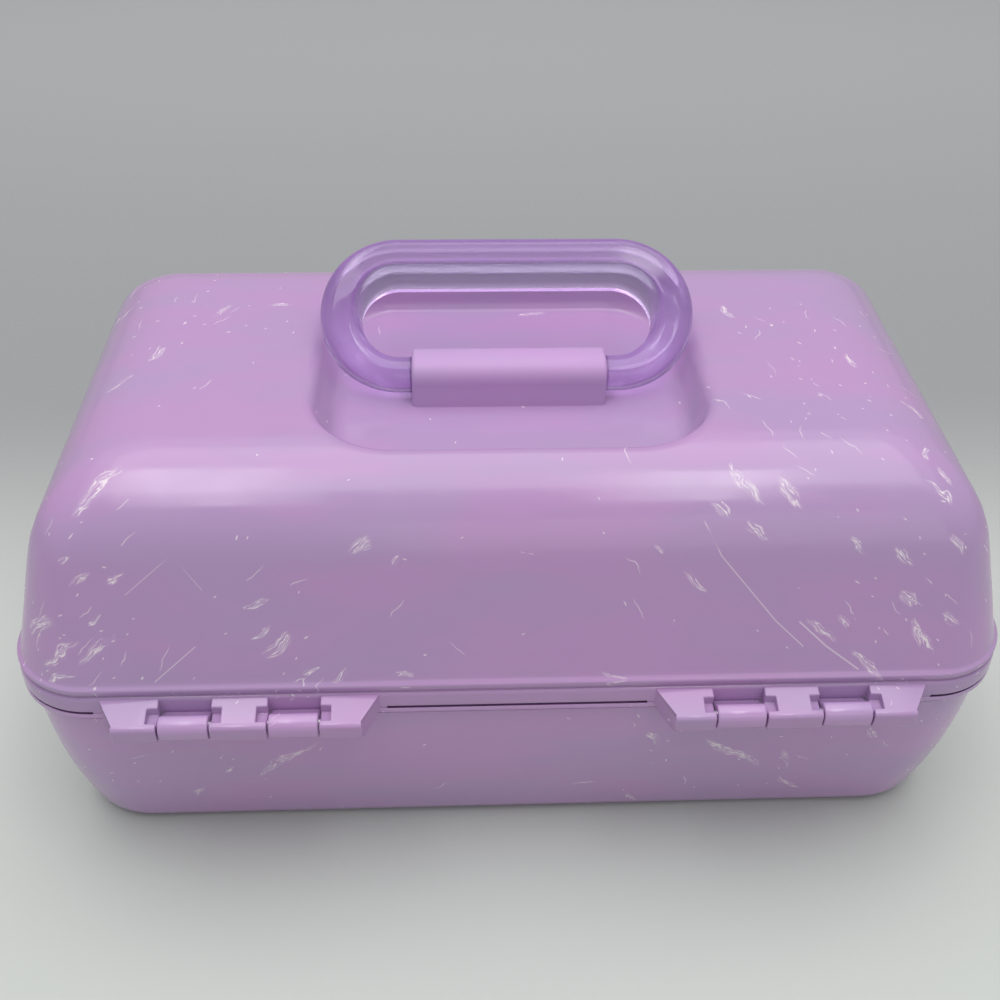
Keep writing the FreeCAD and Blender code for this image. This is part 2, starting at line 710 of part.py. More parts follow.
def add_hinge_fingers(body):
    """Three fingers at each hinge, with slanted ends and with notches beside the knuckles."""
    first, middle, second, outer = hinge_stations()
    top = ledge_z - dim.finger_top_drop
    low = lid_foot + dim.finger_foot_rise
    near = rim_y - ROOT
    front = hinge_y + dim.barrel_radius
    front_top = hinge_z + dim.finger_front_rise
    front_low = hinge_z - dim.barrel_radius
    side = [(near - ROOT, low), (near - ROOT, top), (near, top), (front - dim.finger_edge, front_top),
            (front, front_top - dim.finger_edge), (front, front_low + dim.finger_edge),
            (front - dim.finger_edge, front_low), (hinge_y - dim.barrel_radius / 2, front_low), (near, low)]
    leaf_start = hinge_start - dim.leaf_slant_in
    leaf_end = outer + dim.outer_finger + dim.leaf_slant_out
    spans = [(leaf_start, first - dim.knuckle_gap), (middle, second - dim.knuckle_gap), (outer, leaf_end)]
    features = []
    for index, (start, end) in enumerate(spans):
        sketch = new_sketch(body, "finger_side%d" % index, "YZ_Plane", start)
        draw_polygon(sketch, side)
        features.append(pad(body, sketch, "finger%d" % index, end - start))
    mirror_across(body, features, "left_fingers")
    # The leaf's ends slant in towards its front
    bottom = front_low - ROOT
    slants = []
    ends = (("inner", leaf_start, dim.leaf_slant_in), ("outer", leaf_end, -dim.leaf_slant_out))
    for tag, edge, slant in ends:
        sketch = new_sketch(body, "slant_%s" % tag, "XY_Plane", bottom)
        draw_polygon(sketch, [(edge, rim_y), (edge + slant, front - dim.finger_edge),
                              (edge + slant, front + ROOT), (edge, front + ROOT)])
        slants.append(pocket(body, sketch, "slant_cut_%s" % tag, top - bottom + ROOT))
    mirror_across(body, slants, "left_slants")
    # Small notches beside the knuckles, over the pin
    before = dim.knuckle_gap + dim.notch_width
    notch_floor = hinge_z + dim.notch_rise
    notches = []
    for index, edge in enumerate((first - before, middle, second - before, outer)):
        sketch = new_sketch(body, "notch%d" % index, "XY_Plane", notch_floor)
        far, close = hinge_y + dim.notch_ahead, hinge_y - dim.notch_behind
        draw_polygon(sketch, [(edge, close), (edge + dim.notch_width, close),
                              (edge + dim.notch_width, far), (edge, far)])
        notches.append(pocket(body, sketch, "notch_cut%d" % index, top - notch_floor))
    mirror_across(body, notches, "left_notches")
    start, end = hinge_pin_ends()
    bore = new_sketch(body, "pin_bore_ring", "YZ_Plane", start)
    draw_circle(bore, hinge_y, hinge_z, dim.hinge_pin_radius, "bore")
    cut = pocket(body, bore, "pin_bore", end - start)
    mirror_across(body, [cut], "left_pin_bore")


def add_latch_ears(body):
    """Two ears on the front rim that hold the latch's pin."""
    near = -(rim_y - ROOT)
    roots = [(near, latch_z - dim.latch_knuckle), (near + ROOT, latch_z - dim.latch_knuckle),
             (near + ROOT, ledge_z - dim.finger_top_drop), (near, ledge_z - dim.finger_top_drop)]
    sketch = new_sketch(body, "ear_side", "YZ_Plane", dim.latch_width / 2 + dim.latch_ear_gap)
    draw_lug(sketch, (latch_y, latch_z), dim.latch_knuckle, roots)
    ear = pad(body, sketch, "ear", dim.latch_ear)
    mirror_across(body, [ear], "left_ear")
    bore = new_sketch(body, "ear_bore_ring", "YZ_Plane", -rim_x)
    draw_circle(bore, latch_y, latch_z, dim.latch_pin_radius, "bore")
    pocket(body, bore, "ear_bore", rim_x * 2)


def add_lid_bosses(body):
    """Posts for the mirror frame and bosses for the links' studs."""
    posts = []
    for index, place in enumerate((dim.post_y, -dim.post_y)):
        ring = new_sketch(body, "post_ring%d" % index, "XY_Plane", frame_top)
        draw_circle(ring, post_x, place, dim.post_radius, "post")
        posts.append(pad(body, ring, "post%d" % index, dim.lid_top - dim.shell_wall / 2 - frame_top))
        hole = new_sketch(body, "post_hole%d" % index, "XY_Plane", frame_top)
        draw_circle(hole, post_x, place, dim.screw_radius + dim.rivet_play, "hole")
        depth = dim.screw_length - dim.frame_plate + dim.screw_tip_room
        posts.append(pocket(body, hole, "post_bore%d" % index, depth))
    mirror_across(body, posts, "left_posts")
    ring = new_sketch(body, "stud_boss_ring", "YZ_Plane", link_end + dim.layer_gap)
    draw_circle(ring, link_lid_y, link_lid_z, dim.link_half_width, "boss")
    reach = rim_x - dim.lip_inset - dim.shell_wall / 2 - (link_end + dim.layer_gap)
    boss = pad(body, ring, "stud_boss", reach)
    hole = new_sketch(body, "stud_hole_ring", "YZ_Plane", link_end + dim.layer_gap)
    draw_circle(hole, link_lid_y, link_lid_z, dim.rivet_radius, "hole")
    bore = pocket(body, hole, "stud_bore", dim.rivet_depth + dim.rivet_tip_room)
    mirror_across(body, [boss, bore], "left_stud_boss")


def make_lid_shell():
    body = new_body("lid_shell")
    band = ring_section(body, "band_ring", lid_foot, rim_x, rim_y, dim.rim_corner)
    pad(body, band, "rim_band", dim.lid_band)
    lip_low = ring_section(body, "lip_ring", ledge_z, rim_x - dim.lip_inset, rim_y - dim.lip_inset,
                           dim.rim_corner - dim.lip_inset)
    pad(body, lip_low, "rolled_lip", dim.lip_rise)
    lip_high = ring_section(body, "flare_ring", ledge_z + dim.lip_rise, rim_x - dim.lip_inset,
                            rim_y - dim.lip_inset, dim.rim_corner - dim.lip_inset)
    foot, dome = lid_sections(body, "outside", as_size(0))
    loft(body, [lip_high, foot], "flare", ruled=True)
    loft(body, [foot, dome[0]], "outer_wall", ruled=True)
    loft(body, dome, "outer_dome")
    # Hollow
    inner_foot, inner_dome = lid_sections(body, "inside", dim.shell_wall)
    mouth = ring_section(body, "mouth_ring", lid_foot, rim_x - lid_rim_inset, rim_y - lid_rim_inset,
                         dim.rim_corner - lid_rim_inset)
    throat = ring_section(body, "throat_ring", ledge_z, rim_x - lid_rim_inset, rim_y - lid_rim_inset,
                          dim.rim_corner - lid_rim_inset)
    loft(body, [mouth, throat, inner_foot, inner_dome[0]], "inner_wall", "Subtractive", ruled=True)
    loft(body, inner_dome, "inner_dome", "Subtractive")
    # Handle recess with its own wall underneath
    boss_top = dim.lid_top - dim.shell_wall / 2
    boss_foot = dim.recess_floor - dim.recess_wall
    boss = []
    for name, height in (("recess_boss_low", boss_foot), ("recess_boss_high", boss_top)):
        boss.append(recess_ring(body, name, height, recess_wall_shift(height), dim.recess_wall))
    loft(body, boss, "recess_boss", ruled=True)
    loft(body, recess_sections(body), "recess", "Subtractive", ruled=True)
    # Slots for the bridge's snap legs
    leg_middle = bridge_inner + dim.bridge_wall / 2
    slot_half = dim.bridge_leg_width / 2 + dim.bridge_leg_gap
    slots = []
    for index, side_y in enumerate((-1, 1)):
        slot = new_sketch(body, "leg_slot%d" % index, "XY_Plane", dim.recess_floor - dim.recess_wall - 1)
        half = dim.bridge_wall / 2 + dim.bridge_leg_gap
        centre_y = dim.bail_y + leg_middle * side_y
        centre_x = dim.bridge_leg_spacing / 2
        near_x, far_x = centre_x - slot_half, centre_x + slot_half
        near_y, far_y = centre_y - half, centre_y + half
        draw_polygon(slot, [(near_x, near_y), (far_x, near_y), (far_x, far_y), (near_x, far_y)])
        slots.append(pocket(body, slot, "leg_slot_cut%d" % index, dim.recess_wall + 2))
    mirror_across(body, slots, "left_leg_slots")
    add_hinge_fingers(body)
    add_latch_ears(body)
    add_lid_bosses(body)
    return body


def make_hinge_pin(side, sign):
    start, end = hinge_pin_ends()
    near = start if sign > 0 else -end
    item = rod("hinge_pin_" + side, (near, hinge_y, hinge_z), dim.hinge_pin_radius, end - start)
    item.Label = "hinge_pin_" + side
    return item


def make_handle_bridge():
    """Half-round saddle over the bail's bar, with four snap legs through the recess floor."""
    body = new_body("handle_bridge")
    hub = (dim.bail_y, dim.bail_z)
    arch = new_sketch(body, "arch_side", "YZ_Plane", -dim.bridge_half_length)
    draw_lug(arch, hub, bridge_outer, [(dim.bail_y - bridge_outer, dim.recess_floor),
                                       (dim.bail_y + bridge_outer, dim.recess_floor)])
    pad(body, arch, "arch", dim.bridge_half_length * 2)
    tunnel = new_sketch(body, "tunnel_side", "YZ_Plane", -dim.bridge_half_length - ROOT)
    draw_lug(tunnel, hub, bridge_inner, [(dim.bail_y - bridge_inner, dim.recess_floor - ROOT),
                                         (dim.bail_y + bridge_inner, dim.recess_floor - ROOT)])
    pocket(body, tunnel, "tunnel", dim.bridge_half_length * 2 + 2 * ROOT)

    def at_outer_end(box):
        at_end = abs(abs(box.Center.x) - dim.bridge_half_length.value) < 0.01 and box.XLength < 0.01
        beyond = max(abs(box.YMin - dim.bail_y.value), abs(box.YMax - dim.bail_y.value))
        return at_end and beyond > bridge_outer.value - 0.01 and box.ZLength > 1

    round_edges(body, "end_round", dim.bridge_end_round, at_outer_end)
    floor_under = dim.recess_floor - dim.recess_wall - dim.bridge_leg_gap
    foot = floor_under - dim.bridge_leg_drop
    legs = []
    for index, way in enumerate((-1, 1)):
        inner = dim.bail_y + bridge_inner * way
        outer = dim.bail_y + bridge_outer * way
        start = (dim.bridge_leg_spacing - dim.bridge_leg_width) / 2
        leg = new_sketch(body, "leg_side%d" % index, "YZ_Plane", start)
        draw_polygon(leg, [(inner, dim.recess_floor + ROOT), (outer, dim.recess_floor + ROOT),
                           (outer, floor_under), (outer + dim.bridge_barb * way, floor_under),
                           (outer, foot), (inner, foot)])
        legs.append(pad(body, leg, "leg%d" % index, dim.bridge_leg_width))
    mirror_across(body, legs, "left_legs")
    return body


def bail_section(body, name, angle, end=1):
    """Section of the bail at an angle round its end: round at the bridge, deep at the grip."""
    share = (math.sin(math.radians(angle)) + 1) / 2
    radius = dim.bail_height / 2
    hub_x = (dim.bail_half_width - radius) * end
    near, middle, far = (1 - share) * (1 - 2 * share), 4 * share * (1 - share), share * (2 * share - 1)
    half = dim.bail_bar_radius * near + dim.bail_side_half * middle + dim.bail_grip_half * far
    blend = share * share * (3 - 2 * share)
    depth = dim.bail_bar_radius + (dim.bail_grip_depth - dim.bail_bar_radius) * blend
    corner = dim.bail_bar_radius * (ROUND_BAR * (1 - share)) + dim.bail_edge * share
    sketch = new_sketch(body, name, "XY_Plane", radius + radius * math.sin(math.radians(angle)))
    turn = FreeCAD.Rotation(FreeCAD.Vector(0, 1, 0), -angle)
    sketch.AttachmentOffset = FreeCAD.Placement(FreeCAD.Vector(), turn)
    sketch.setExpression("AttachmentOffset.Base.x", (hub_x + radius * math.cos(math.radians(angle))).text)
    draw_rounded_rectangle(sketch, half, depth, corner)
    return sketch


def make_handle_bail():
    """Stadium-shaped ring, drawn upright over its bar and then leant towards the latch."""
    body = new_body("handle_bail")
    right = []
    left = []
    for index, angle in enumerate(BAIL_ANGLES):
        right.append(bail_section(body, "right%d" % index, angle))
        left.append(bail_section(body, "left%d" % index, 180 - angle, -1))
    loft(body, right, "right_end")
    loft(body, [right[-1], left[-1]], "grip", ruled=True)
    loft(body, left, "left_end")
    loft(body, [left[0], right[0]], "bar", ruled=True)
    body.Placement = FreeCAD.Placement(FreeCAD.Vector(), FreeCAD.Rotation(FreeCAD.Vector(1, 0, 0), 1))
    body.setExpression("Placement.Base.y", dim.bail_y.text)
    body.setExpression("Placement.Base.z", dim.bail_z.text)
    body.setExpression("Placement.Rotation.Angle", dim.bail_lean.text)
    return body


def make_latch_tab():
    """Hasp that hangs from its pin in front of the keeper, with a hook bead and a thumb lip."""
    body = new_body("latch_tab")
    start = -dim.latch_width / 2
    ring = new_sketch(body, "knuckle_ring", "YZ_Plane", start)
    draw_circle(ring, latch_y, latch_z, dim.latch_knuckle, "knuckle")
    pad(body, ring, "knuckle", dim.latch_width)
    inner = -(rim_y + dim.keeper_nose + dim.latch_air)
    outer = inner - dim.latch_plate
    hook = -(rim_y + dim.keeper_nose + dim.hook_gap)
    hook_top = base_top - dim.keeper_drop - dim.hook_gap
    hook_low = hook_top - dim.hook_height
    foot = latch_z - dim.latch_drop
    plate = new_sketch(body, "plate_side", "YZ_Plane", start)
    draw_polygon(plate, [(inner, latch_z), (outer, latch_z), (outer, foot + dim.latch_lip_height),
                         (outer - dim.latch_lip, foot), (inner, foot), (inner, hook_low - dim.latch_air),
                         (hook, hook_low), (hook, hook_top), (inner, hook_top)])
    pad(body, plate, "plate", dim.latch_width)
    bore = new_sketch(body, "bore_ring", "YZ_Plane", start)
    draw_circle(bore, latch_y, latch_z, dim.latch_pin_radius + dim.rivet_play, "bore")
    pocket(body, bore, "bore", dim.latch_width)
    return body


def make_latch_pin():
    half = dim.latch_width / 2 + dim.latch_ear_gap + dim.latch_ear
    item = rod("latch_pin", (-half, latch_y, latch_z), dim.latch_pin_radius, half * 2)
    item.Label = "latch_pin"
    return item


def make_mirror_frame():
    body = new_body("mirror_frame")
    lip_x = mirror_half_x + dim.mirror_gap + dim.frame_lip
    lip_y = dim.mirror_half_y + dim.mirror_gap + dim.frame_lip
    plate = ring_section(body, "plate_ring", frame_low, frame_half_x, lip_y, dim.frame_corner)
    pad(body, plate, "plate", dim.frame_plate)
    lip = new_sketch(body, "lip_ring", "XY_Plane", mirror_low - dim.frame_edge)
    for tag, grow in (("outer", dim.frame_lip), ("inner", as_size(0))):
        spread = dim.mirror_gap + grow
        draw_rounded_rectangle(lip, mirror_half_x + spread, dim.mirror_half_y + spread,
                               dim.mirror_corner + spread, tag=tag)
    pad(body, lip, "lip", dim.frame_edge + dim.mirror_thickness)
    holes = []
    for index, place in enumerate((dim.post_y, -dim.post_y)):
        hole = new_sketch(body, "screw_hole%d" % index, "XY_Plane", frame_low)
        draw_circle(hole, post_x, place, dim.screw_radius + dim.rivet_play, "hole")
        holes.append(pocket(body, hole, "screw_bore%d" % index, dim.frame_plate))
    mirror_across(body, holes, "left_screw_bores")
    return body


def make_mirror_glass():
    body = new_body("mirror_glass")
    ring = ring_section(body, "glass_ring", mirror_low, mirror_half_x, dim.mirror_half_y,
                        dim.mirror_corner)
    pad(body, ring, "glass", dim.mirror_thickness)
    return body


def make_mirror_screws():
    screws = []
    for side, sign in SIDES:
        for row, place in (("back", dim.post_y), ("front", -dim.post_y)):
            name = "mirror_screw_%s_%s" % (side, row)
            head = rod(name + "_head", (post_x * sign, place, frame_low - dim.screw_head),
                       dim.screw_head_radius, dim.screw_head, "Z")
            shank = rod(name + "_shank", (post_x * sign, place, frame_low), dim.screw_radius,
                        dim.screw_length, "Z")
            screws.append(fused(name, [head, shank]))
    return group("mirror_screws", screws)


def make_tray():
    """Open tray with a back row of long wells and a front row of short ones."""
    body = new_body("tray")
    outline = new_sketch(body, "outline", "XY_Plane", dim.tray_floor_z)
    draw_rounded_rectangle(outline, tray_half_x, tray_half_y, dim.tray_corner, (0, tray_y))
    pad(body, outline, "block", dim.tray_height)
    inside = tray_half_x - dim.tray_wall
    back_edge = tray_y + tray_half_y - dim.tray_wall
    front_edge = tray_y - tray_half_y + dim.tray_wall
    front_depth = back_edge - dim.tray_back_row - dim.divider_wall - front_edge
    rows = (("back", BACK_WELLS, back_edge - dim.tray_back_row / 2, dim.tray_back_row),
            ("front", FRONT_WELLS, front_edge + front_depth / 2, front_depth))
    for name, count, middle, depth in rows:
        width = (inside * 2 - dim.divider_wall * (count - 1)) / count
        for index in range(count):
            across = width / 2 - inside + (width + dim.divider_wall) * index
            label = "%s_well%d" % (name, index)
            well = new_sketch(body, label, "XY_Plane", dim.tray_floor_z + dim.tray_wall)
            draw_rounded_rectangle(well, width / 2, depth / 2, dim.tray_well_corner, (across, middle))
            pocket(body, well, label + "_cut", dim.tray_height)
    holes = []
    for index, place in enumerate((tray_rear_y, tray_front_y)):
        hole = new_sketch(body, "rivet_hole%d" % index, "YZ_Plane", inside - ROOT)
        draw_circle(hole, place, tray_pivot_z, dim.rivet_radius, "hole")
        holes.append(pocket(body, hole, "rivet_bore%d" % index, dim.tray_wall + 2 * ROOT))
    mirror_across(body, holes, "left_rivet_bores")
    return body


def make_bar(label, sign, layer, thickness, half_width, holes):
    """Flat bar on one side of the tray, with a hole at each pivot and one between them if given."""
    body = new_body(label)
    start = layer if sign > 0 else -(layer + thickness)
    sketch = new_sketch(body, "bar_side", "YZ_Plane", start)
    draw_bar(sketch, holes[0][:2], holes[-1][:2], half_width)
    for index, (across, up, radius) in enumerate(holes):
        draw_circle(sketch, across, up, radius, "hole%d" % index)
    pad(body, sketch, "bar", thickness)
    return body


def make_arms(side, sign):
    loose = dim.rivet_radius + dim.rivet_play
    rear = [(arm_rear_y, dim.arm_pivot_z, loose), (link_arm_y, link_arm_z, dim.rivet_radius),
            (tray_rear_y, tray_pivot_z, loose)]
    front = [(arm_front_y, dim.arm_pivot_z, loose), (tray_front_y, tray_pivot_z, loose)]
    link = [(link_lid_y, link_lid_z, loose), (link_arm_y, link_arm_z, loose)]
    return [make_bar("rear_arm_" + side, sign, arm_start, dim.arm_thickness, dim.arm_half_width, rear),
            make_bar("front_arm_" + side, sign, arm_start, dim.arm_thickness, dim.arm_half_width, front),
            make_bar("lift_link_" + side, sign, link_start, dim.link_thickness, dim.link_half_width, link)]


def make_rivets():
    head_end = head_start + dim.rivet_head
    half_gap = dim.layer_gap / 2
    wall_inside = tray_half_x - dim.tray_wall
    arm_outside = arm_end + half_gap
    link_outside = link_end + half_gap
    headed = (dim.rivet_head_radius, dim.rivet_radius, dim.rivet_head_radius)
    kinds = {
        "base_pivot_rivets": (
            [(arm_rear_y, dim.arm_pivot_z), (arm_front_y, dim.arm_pivot_z)],
            (head_start, head_end, boss_face + dim.rivet_depth), headed[:2]),
        "tray_rivets": (
            [(tray_rear_y, tray_pivot_z), (tray_front_y, tray_pivot_z)],
            (wall_inside - dim.rivet_head, wall_inside, arm_outside, arm_outside + dim.rivet_head), headed),
        "link_rivets": (
            [(link_arm_y, link_arm_z)],
            (head_start, head_end, link_outside, link_outside + dim.rivet_head), headed),
        "lid_link_studs": (
            [(link_lid_y, link_lid_z)],
            (link_start - half_gap - dim.rivet_head, link_start - half_gap,
             link_end + dim.layer_gap + dim.rivet_depth), headed[:2]),
    }
    groups = []
    for label, (places, stations, radii) in kinds.items():
        rivets = []
        for side, sign in SIDES:
            for index, (place_y, place_z) in enumerate(places):
                name = "%s_%s%d" % (label, side, index)
                rivets.append(rivet(name, sign, place_y, place_z, stations, radii))
        groups.append(group(label, rivets))
    return groups


pieces = [make_base_tub(), make_lid_shell(), make_handle_bridge(), make_handle_bail(), make_latch_tab(),
          make_latch_pin(), make_mirror_frame(), make_mirror_glass(), make_mirror_screws(), make_tray()]
for side, sign in SIDES:
    pieces.append(make_hinge_pin(side, sign))
    pieces.extend(make_arms(side, sign))
pieces.extend(make_rivets())

doc.recompute()
for item in doc.Objects:
    if "Invalid" in item.State or "Error" in item.State:
        raise RuntimeError("%s (%s) is not built: %s" % (item.Name, item.Label, item.State))
for piece in pieces:
    if piece.Shape.isNull() or not piece.Shape.isValid():
        raise RuntimeError("%s has no valid shape" % piece.Label)
    print("%-20s solids %d volume %.1f" % (piece.Label, len(piece.Shape.Solids), piece.Shape.Volume))
os.makedirs("parts", exist_ok=True)
for piece in pieces:
    piece.Shape.exportStep("parts/%s.step" % piece.Label)
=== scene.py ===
import math

import bmesh
import bpy
import numpy as np
from mathutils import Matrix, Vector


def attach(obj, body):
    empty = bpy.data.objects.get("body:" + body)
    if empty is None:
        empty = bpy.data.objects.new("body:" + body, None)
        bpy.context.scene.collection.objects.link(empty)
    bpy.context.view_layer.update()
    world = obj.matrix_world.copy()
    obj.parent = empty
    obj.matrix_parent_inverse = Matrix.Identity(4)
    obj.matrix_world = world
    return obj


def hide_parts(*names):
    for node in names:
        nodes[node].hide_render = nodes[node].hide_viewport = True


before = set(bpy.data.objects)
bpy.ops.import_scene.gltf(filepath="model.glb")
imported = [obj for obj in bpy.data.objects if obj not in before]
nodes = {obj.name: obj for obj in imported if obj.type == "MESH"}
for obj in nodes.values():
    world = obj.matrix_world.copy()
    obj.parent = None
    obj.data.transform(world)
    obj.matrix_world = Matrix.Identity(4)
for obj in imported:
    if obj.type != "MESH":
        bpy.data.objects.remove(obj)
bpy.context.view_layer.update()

# Sizes in millimetres, close to those of the solids. Meshes are made in millimetres and scaled to metres.
MM = 0.001
RIM_X, RIM_Y, RIM_CORNER, WALL = 165.0, 99.8, 27.0, 2.5
BASE_TOP, LID_FOOT = 75.25, 75.75
BASE_WALL_TOP, BASE_WALL_INSET, BASE_DRAW = 70.15, 2.0, (4.0, 11.7)
FOOT_RADIUS, FOOT_CORNER = 7.6, 27.0
TONGUE_INSET, TONGUE_WALL, TONGUE_RISE = 3.9, 1.2, 2.6
LEDGE_Z, LID_RIM_INSET = 81.75, 3.5
LID_TOP, LID_ROUND, LID_WALL_FOOT, LID_WALL_INSET = 147.1, 36.4, 86.55, 2.1
LID_LEAN = (13.5, 23.1)
SHOULDER_CORNER, TOP_CORNER = 18.0, 8.0
RECESS_HALF, RECESS_CORNER, RECESS_FLOOR, RECESS_LEAN = (67.2, 53.8), 28.0, 133.6, (29.0, 12.0)
RECESS_EDGE, RECESS_FOOT = 6.5, 8.5
HINGE_Y, HINGE_Z, BARREL = 105.5, 75.5, 4.5
LEAF_SPAN, LEAF_SLANT, LEAF_DROP, LEAF_ROUND = (44.6, 133.5), (5.4, 5.0), 3.5, 1.6
KNUCKLES = ((63.75, 79.45), (98.3, 114.0))
KNUCKLE_GAP = 0.5
NOTCH_WIDTH, NOTCH_Y, NOTCH_FLOOR = 3.4, (102.6, 107.6), 77.4
SLIT_ENDS, SLIT_HALF, CLOSED_HALF = (42.2, 136.2), 0.6, 0.06
LEAF_CUT_LOW, LEAF_CUT_HIGH, LEAF_CUT_OUT = 60.0, 90.0, 120.0
ARM_PIVOTS, BOSS_RADIUS, BASE_BOSS_SPAN = ((60.0, 60.0), (-2.0, 60.0)), 5.0, (150.6, 161.5)
STUD, LID_BOSS_SPAN = (69.85, 80.51), (152.8, 163.0)
KEEPER_ROOT, KEEPER_REACH, KEEPER_DROP, KEEPER_RISES, KEEPER_HALF = 2.6, 1.6, 6.6, (2.4, 4.8), 20.0
POST_X, POST_Y, POST_RADIUS, POST_FOOT = 103.0, 34.0, 4.0, 126.9
LATCH_Y, LATCH_Z, EAR_RADIUS, EAR_SPAN = -104.4, 80.15, 3.2, (26.4, 30.4)
LATCH_PLATE, LATCH_FOOT, LATCH_HALF, LATCH_ARC = (-105.2, -102.4), 55.15, 26.0, (-51.3, 255.5)
LATCH_RIBS, RIB_HALF, RIB_HEIGHT = (63.5, 66.0, 68.5), 18.0, 1.0
BAIL_PLACE, BAIL_LEAN, BAIL_HEIGHT, BAIL_HALF_WIDTH = (5.0, 140.8), 52.0, 40.5, 58.4
BAR_RADIUS, SIDE_HALF, GRIP_HALF, GRIP_DEPTH, GRIP_EDGES = 6.2, 7.2, 6.9, 11.0, (4.6, 0.8)
GRIP_SLANTS = (0.4, 0.2)
BRIDGE_HALF, BRIDGE_OUTER, BRIDGE_FOOT, BRIDGE_INNER = 33.8, 8.6, 9.6, 6.7
BRIDGE_SQUARE, BRIDGE_DROP, BRIDGE_ROUND = 2.6, 0.4, 1.5

# Rise from the lid's ledge and inset from the rim: band, ledge, crease, rolled lip and flare
LID_RIM = ((-4.6, 0.0), (-1.2, 0.34), (-0.75, 0.42), (-0.35, 0.62), (-0.1, 0.9), (0.0, 1.18), (0.06, 1.36),
           (0.25, 1.42), (0.5, 1.28), (0.9, 1.04), (1.5, 0.78), (2.2, 0.6), (2.8, 0.54), (3.3, 0.62),
           (3.6, 0.85), (3.85, 1.2), (4.15, 1.62), (4.5, 1.92))
# Rise from the slit's upper side and inset from the rim, round the lid's lower edge from inside
LID_EDGE = ((0.4, LID_RIM_INSET), (0.0, LID_RIM_INSET - 0.4), (0.0, 0.3), (0.08, 0.08), (0.3, 0.0))
# Rise from the top of the base's wall and inset from the rim: fine ridges under the base's band
BASE_RIDGES = ((0.4, 1.95), (0.55, 1.5), (0.8, 1.36), (1.15, 1.34), (1.3, 1.6), (1.45, 1.6), (1.6, 1.28),
               (2.0, 1.2), (2.2, 1.45))
# Rise from the foot of the base's band and inset from the rim
BASE_BAND_HEIGHT, BASE_BAND = 2.6, ((0.0, 1.45), (0.12, 0.6), (0.3, 0.18), (0.65, 0.0))
# Drop from the slit's lower side and inset from the rim: the base's edge and the groove behind it
BASE_EDGE = ((0.3, 0.0), (0.08, 0.08), (0.0, 0.28), (0.15, 0.5), (1.3, 0.75), (1.5, 1.2),
             (1.5, TONGUE_INSET))

# Reach out of the latch's front and height: the lip to pull
LATCH_LIP = ((0.0, 61.0), (0.5, 59.8), (3.0, 58.0), (3.4, 57.2), (3.4, 55.9), (2.7, LATCH_FOOT))
# Reach in from the latch's back and height: the foot and the hook
LATCH_HOOK = ((-0.5, LATCH_FOOT), (0.0, LATCH_FOOT + 0.5), (0.0, 66.15), (0.7, 66.5), (0.7, 68.35),
              (0.0, 68.35))

# A face of this many square millimetres is large, and meets smaller ones in a crease from this many degrees
FLAT_AREA, FLAT_TURN = 20.0, 12.0

# Where the hinge side and the ends of the rim begin, and the height from which the lid turns to the recess
BACK_FROM, ENDS_FROM, TURN_FROM = 90.0, 150.0, 123.0

# How finely an outline is sampled: places along its long and short sides, and steps round each corner.
STEPS_CORNER = 14
SLIT_SHARES = [sign * (end + step) / (RIM_X - RIM_CORNER)
               for sign in (-1, 1) for end in SLIT_ENDS for step in (0, 0.2)]
SHARES_X = sorted(list(np.linspace(-1, 1, 61)[1:-1]) + SLIT_SHARES)
SHARES_Y = list(np.linspace(-1, 1, 37)[1:-1])


# Outlines and skins

def outline(half_x, half_y, corner):
    """Points of a rounded rectangle, anticlockwise, with the same count for every size."""
    corner = max(min(corner, half_x - 0.5, half_y - 0.5), 0.3)
    run_x, run_y = half_x - corner, half_y - corner
    points = []
    for quarter, (sign_x, sign_y) in enumerate(((1, -1), (1, 1), (-1, 1), (-1, -1))):
        for step in range(STEPS_CORNER + 1):
            angle = math.radians(90 * quarter - 90 + 90 * step / STEPS_CORNER)
            points.append((sign_x * run_x + corner * math.cos(angle),
                           sign_y * run_y + corner * math.sin(angle)))
        if quarter % 2 == 0:
            points += [(sign_x * half_x, run_y * share * sign_x) for share in SHARES_Y]
        else:
            points += [(run_x * share * -sign_y, sign_y * half_y) for share in SHARES_X]
    return np.array(points)


def ring(height, half_x, half_y, corner):
    flat = outline(half_x, half_y, corner)
    return np.column_stack([flat, np.full(len(flat), height)])


def skin(rings):
    """Closed mesh through rings that follow each other, with a flat face over the first and the last."""
    count = len(rings[0])
    verts = np.concatenate(rings)
    faces = [list(range(count))[::-1]]
    for level in range(len(rings) - 1):
        low, high = level * count, (level + 1) * count
        for index in range(count):
            after = (index + 1) % count
            faces.append([low + index, low + after, high + after, high + index])
    last = (len(rings) - 1) * count
    faces.append([last + index for index in range(count)])
    mesh = bmesh.new()
    points = [mesh.verts.new(point) for point in verts]
    for face in faces:
        mesh.faces.new([points[index] for index in face])
    return mesh


def smoothed(values, passes):
    """Average a profile along its length, with its ends kept."""
    values = np.array(values, float)
    for _ in range(passes):
        values[1:-1] = 0.25 * values[:-2] + 0.5 * values[1:-1] + 0.25 * values[2:]
    return values


# Lid and base shells

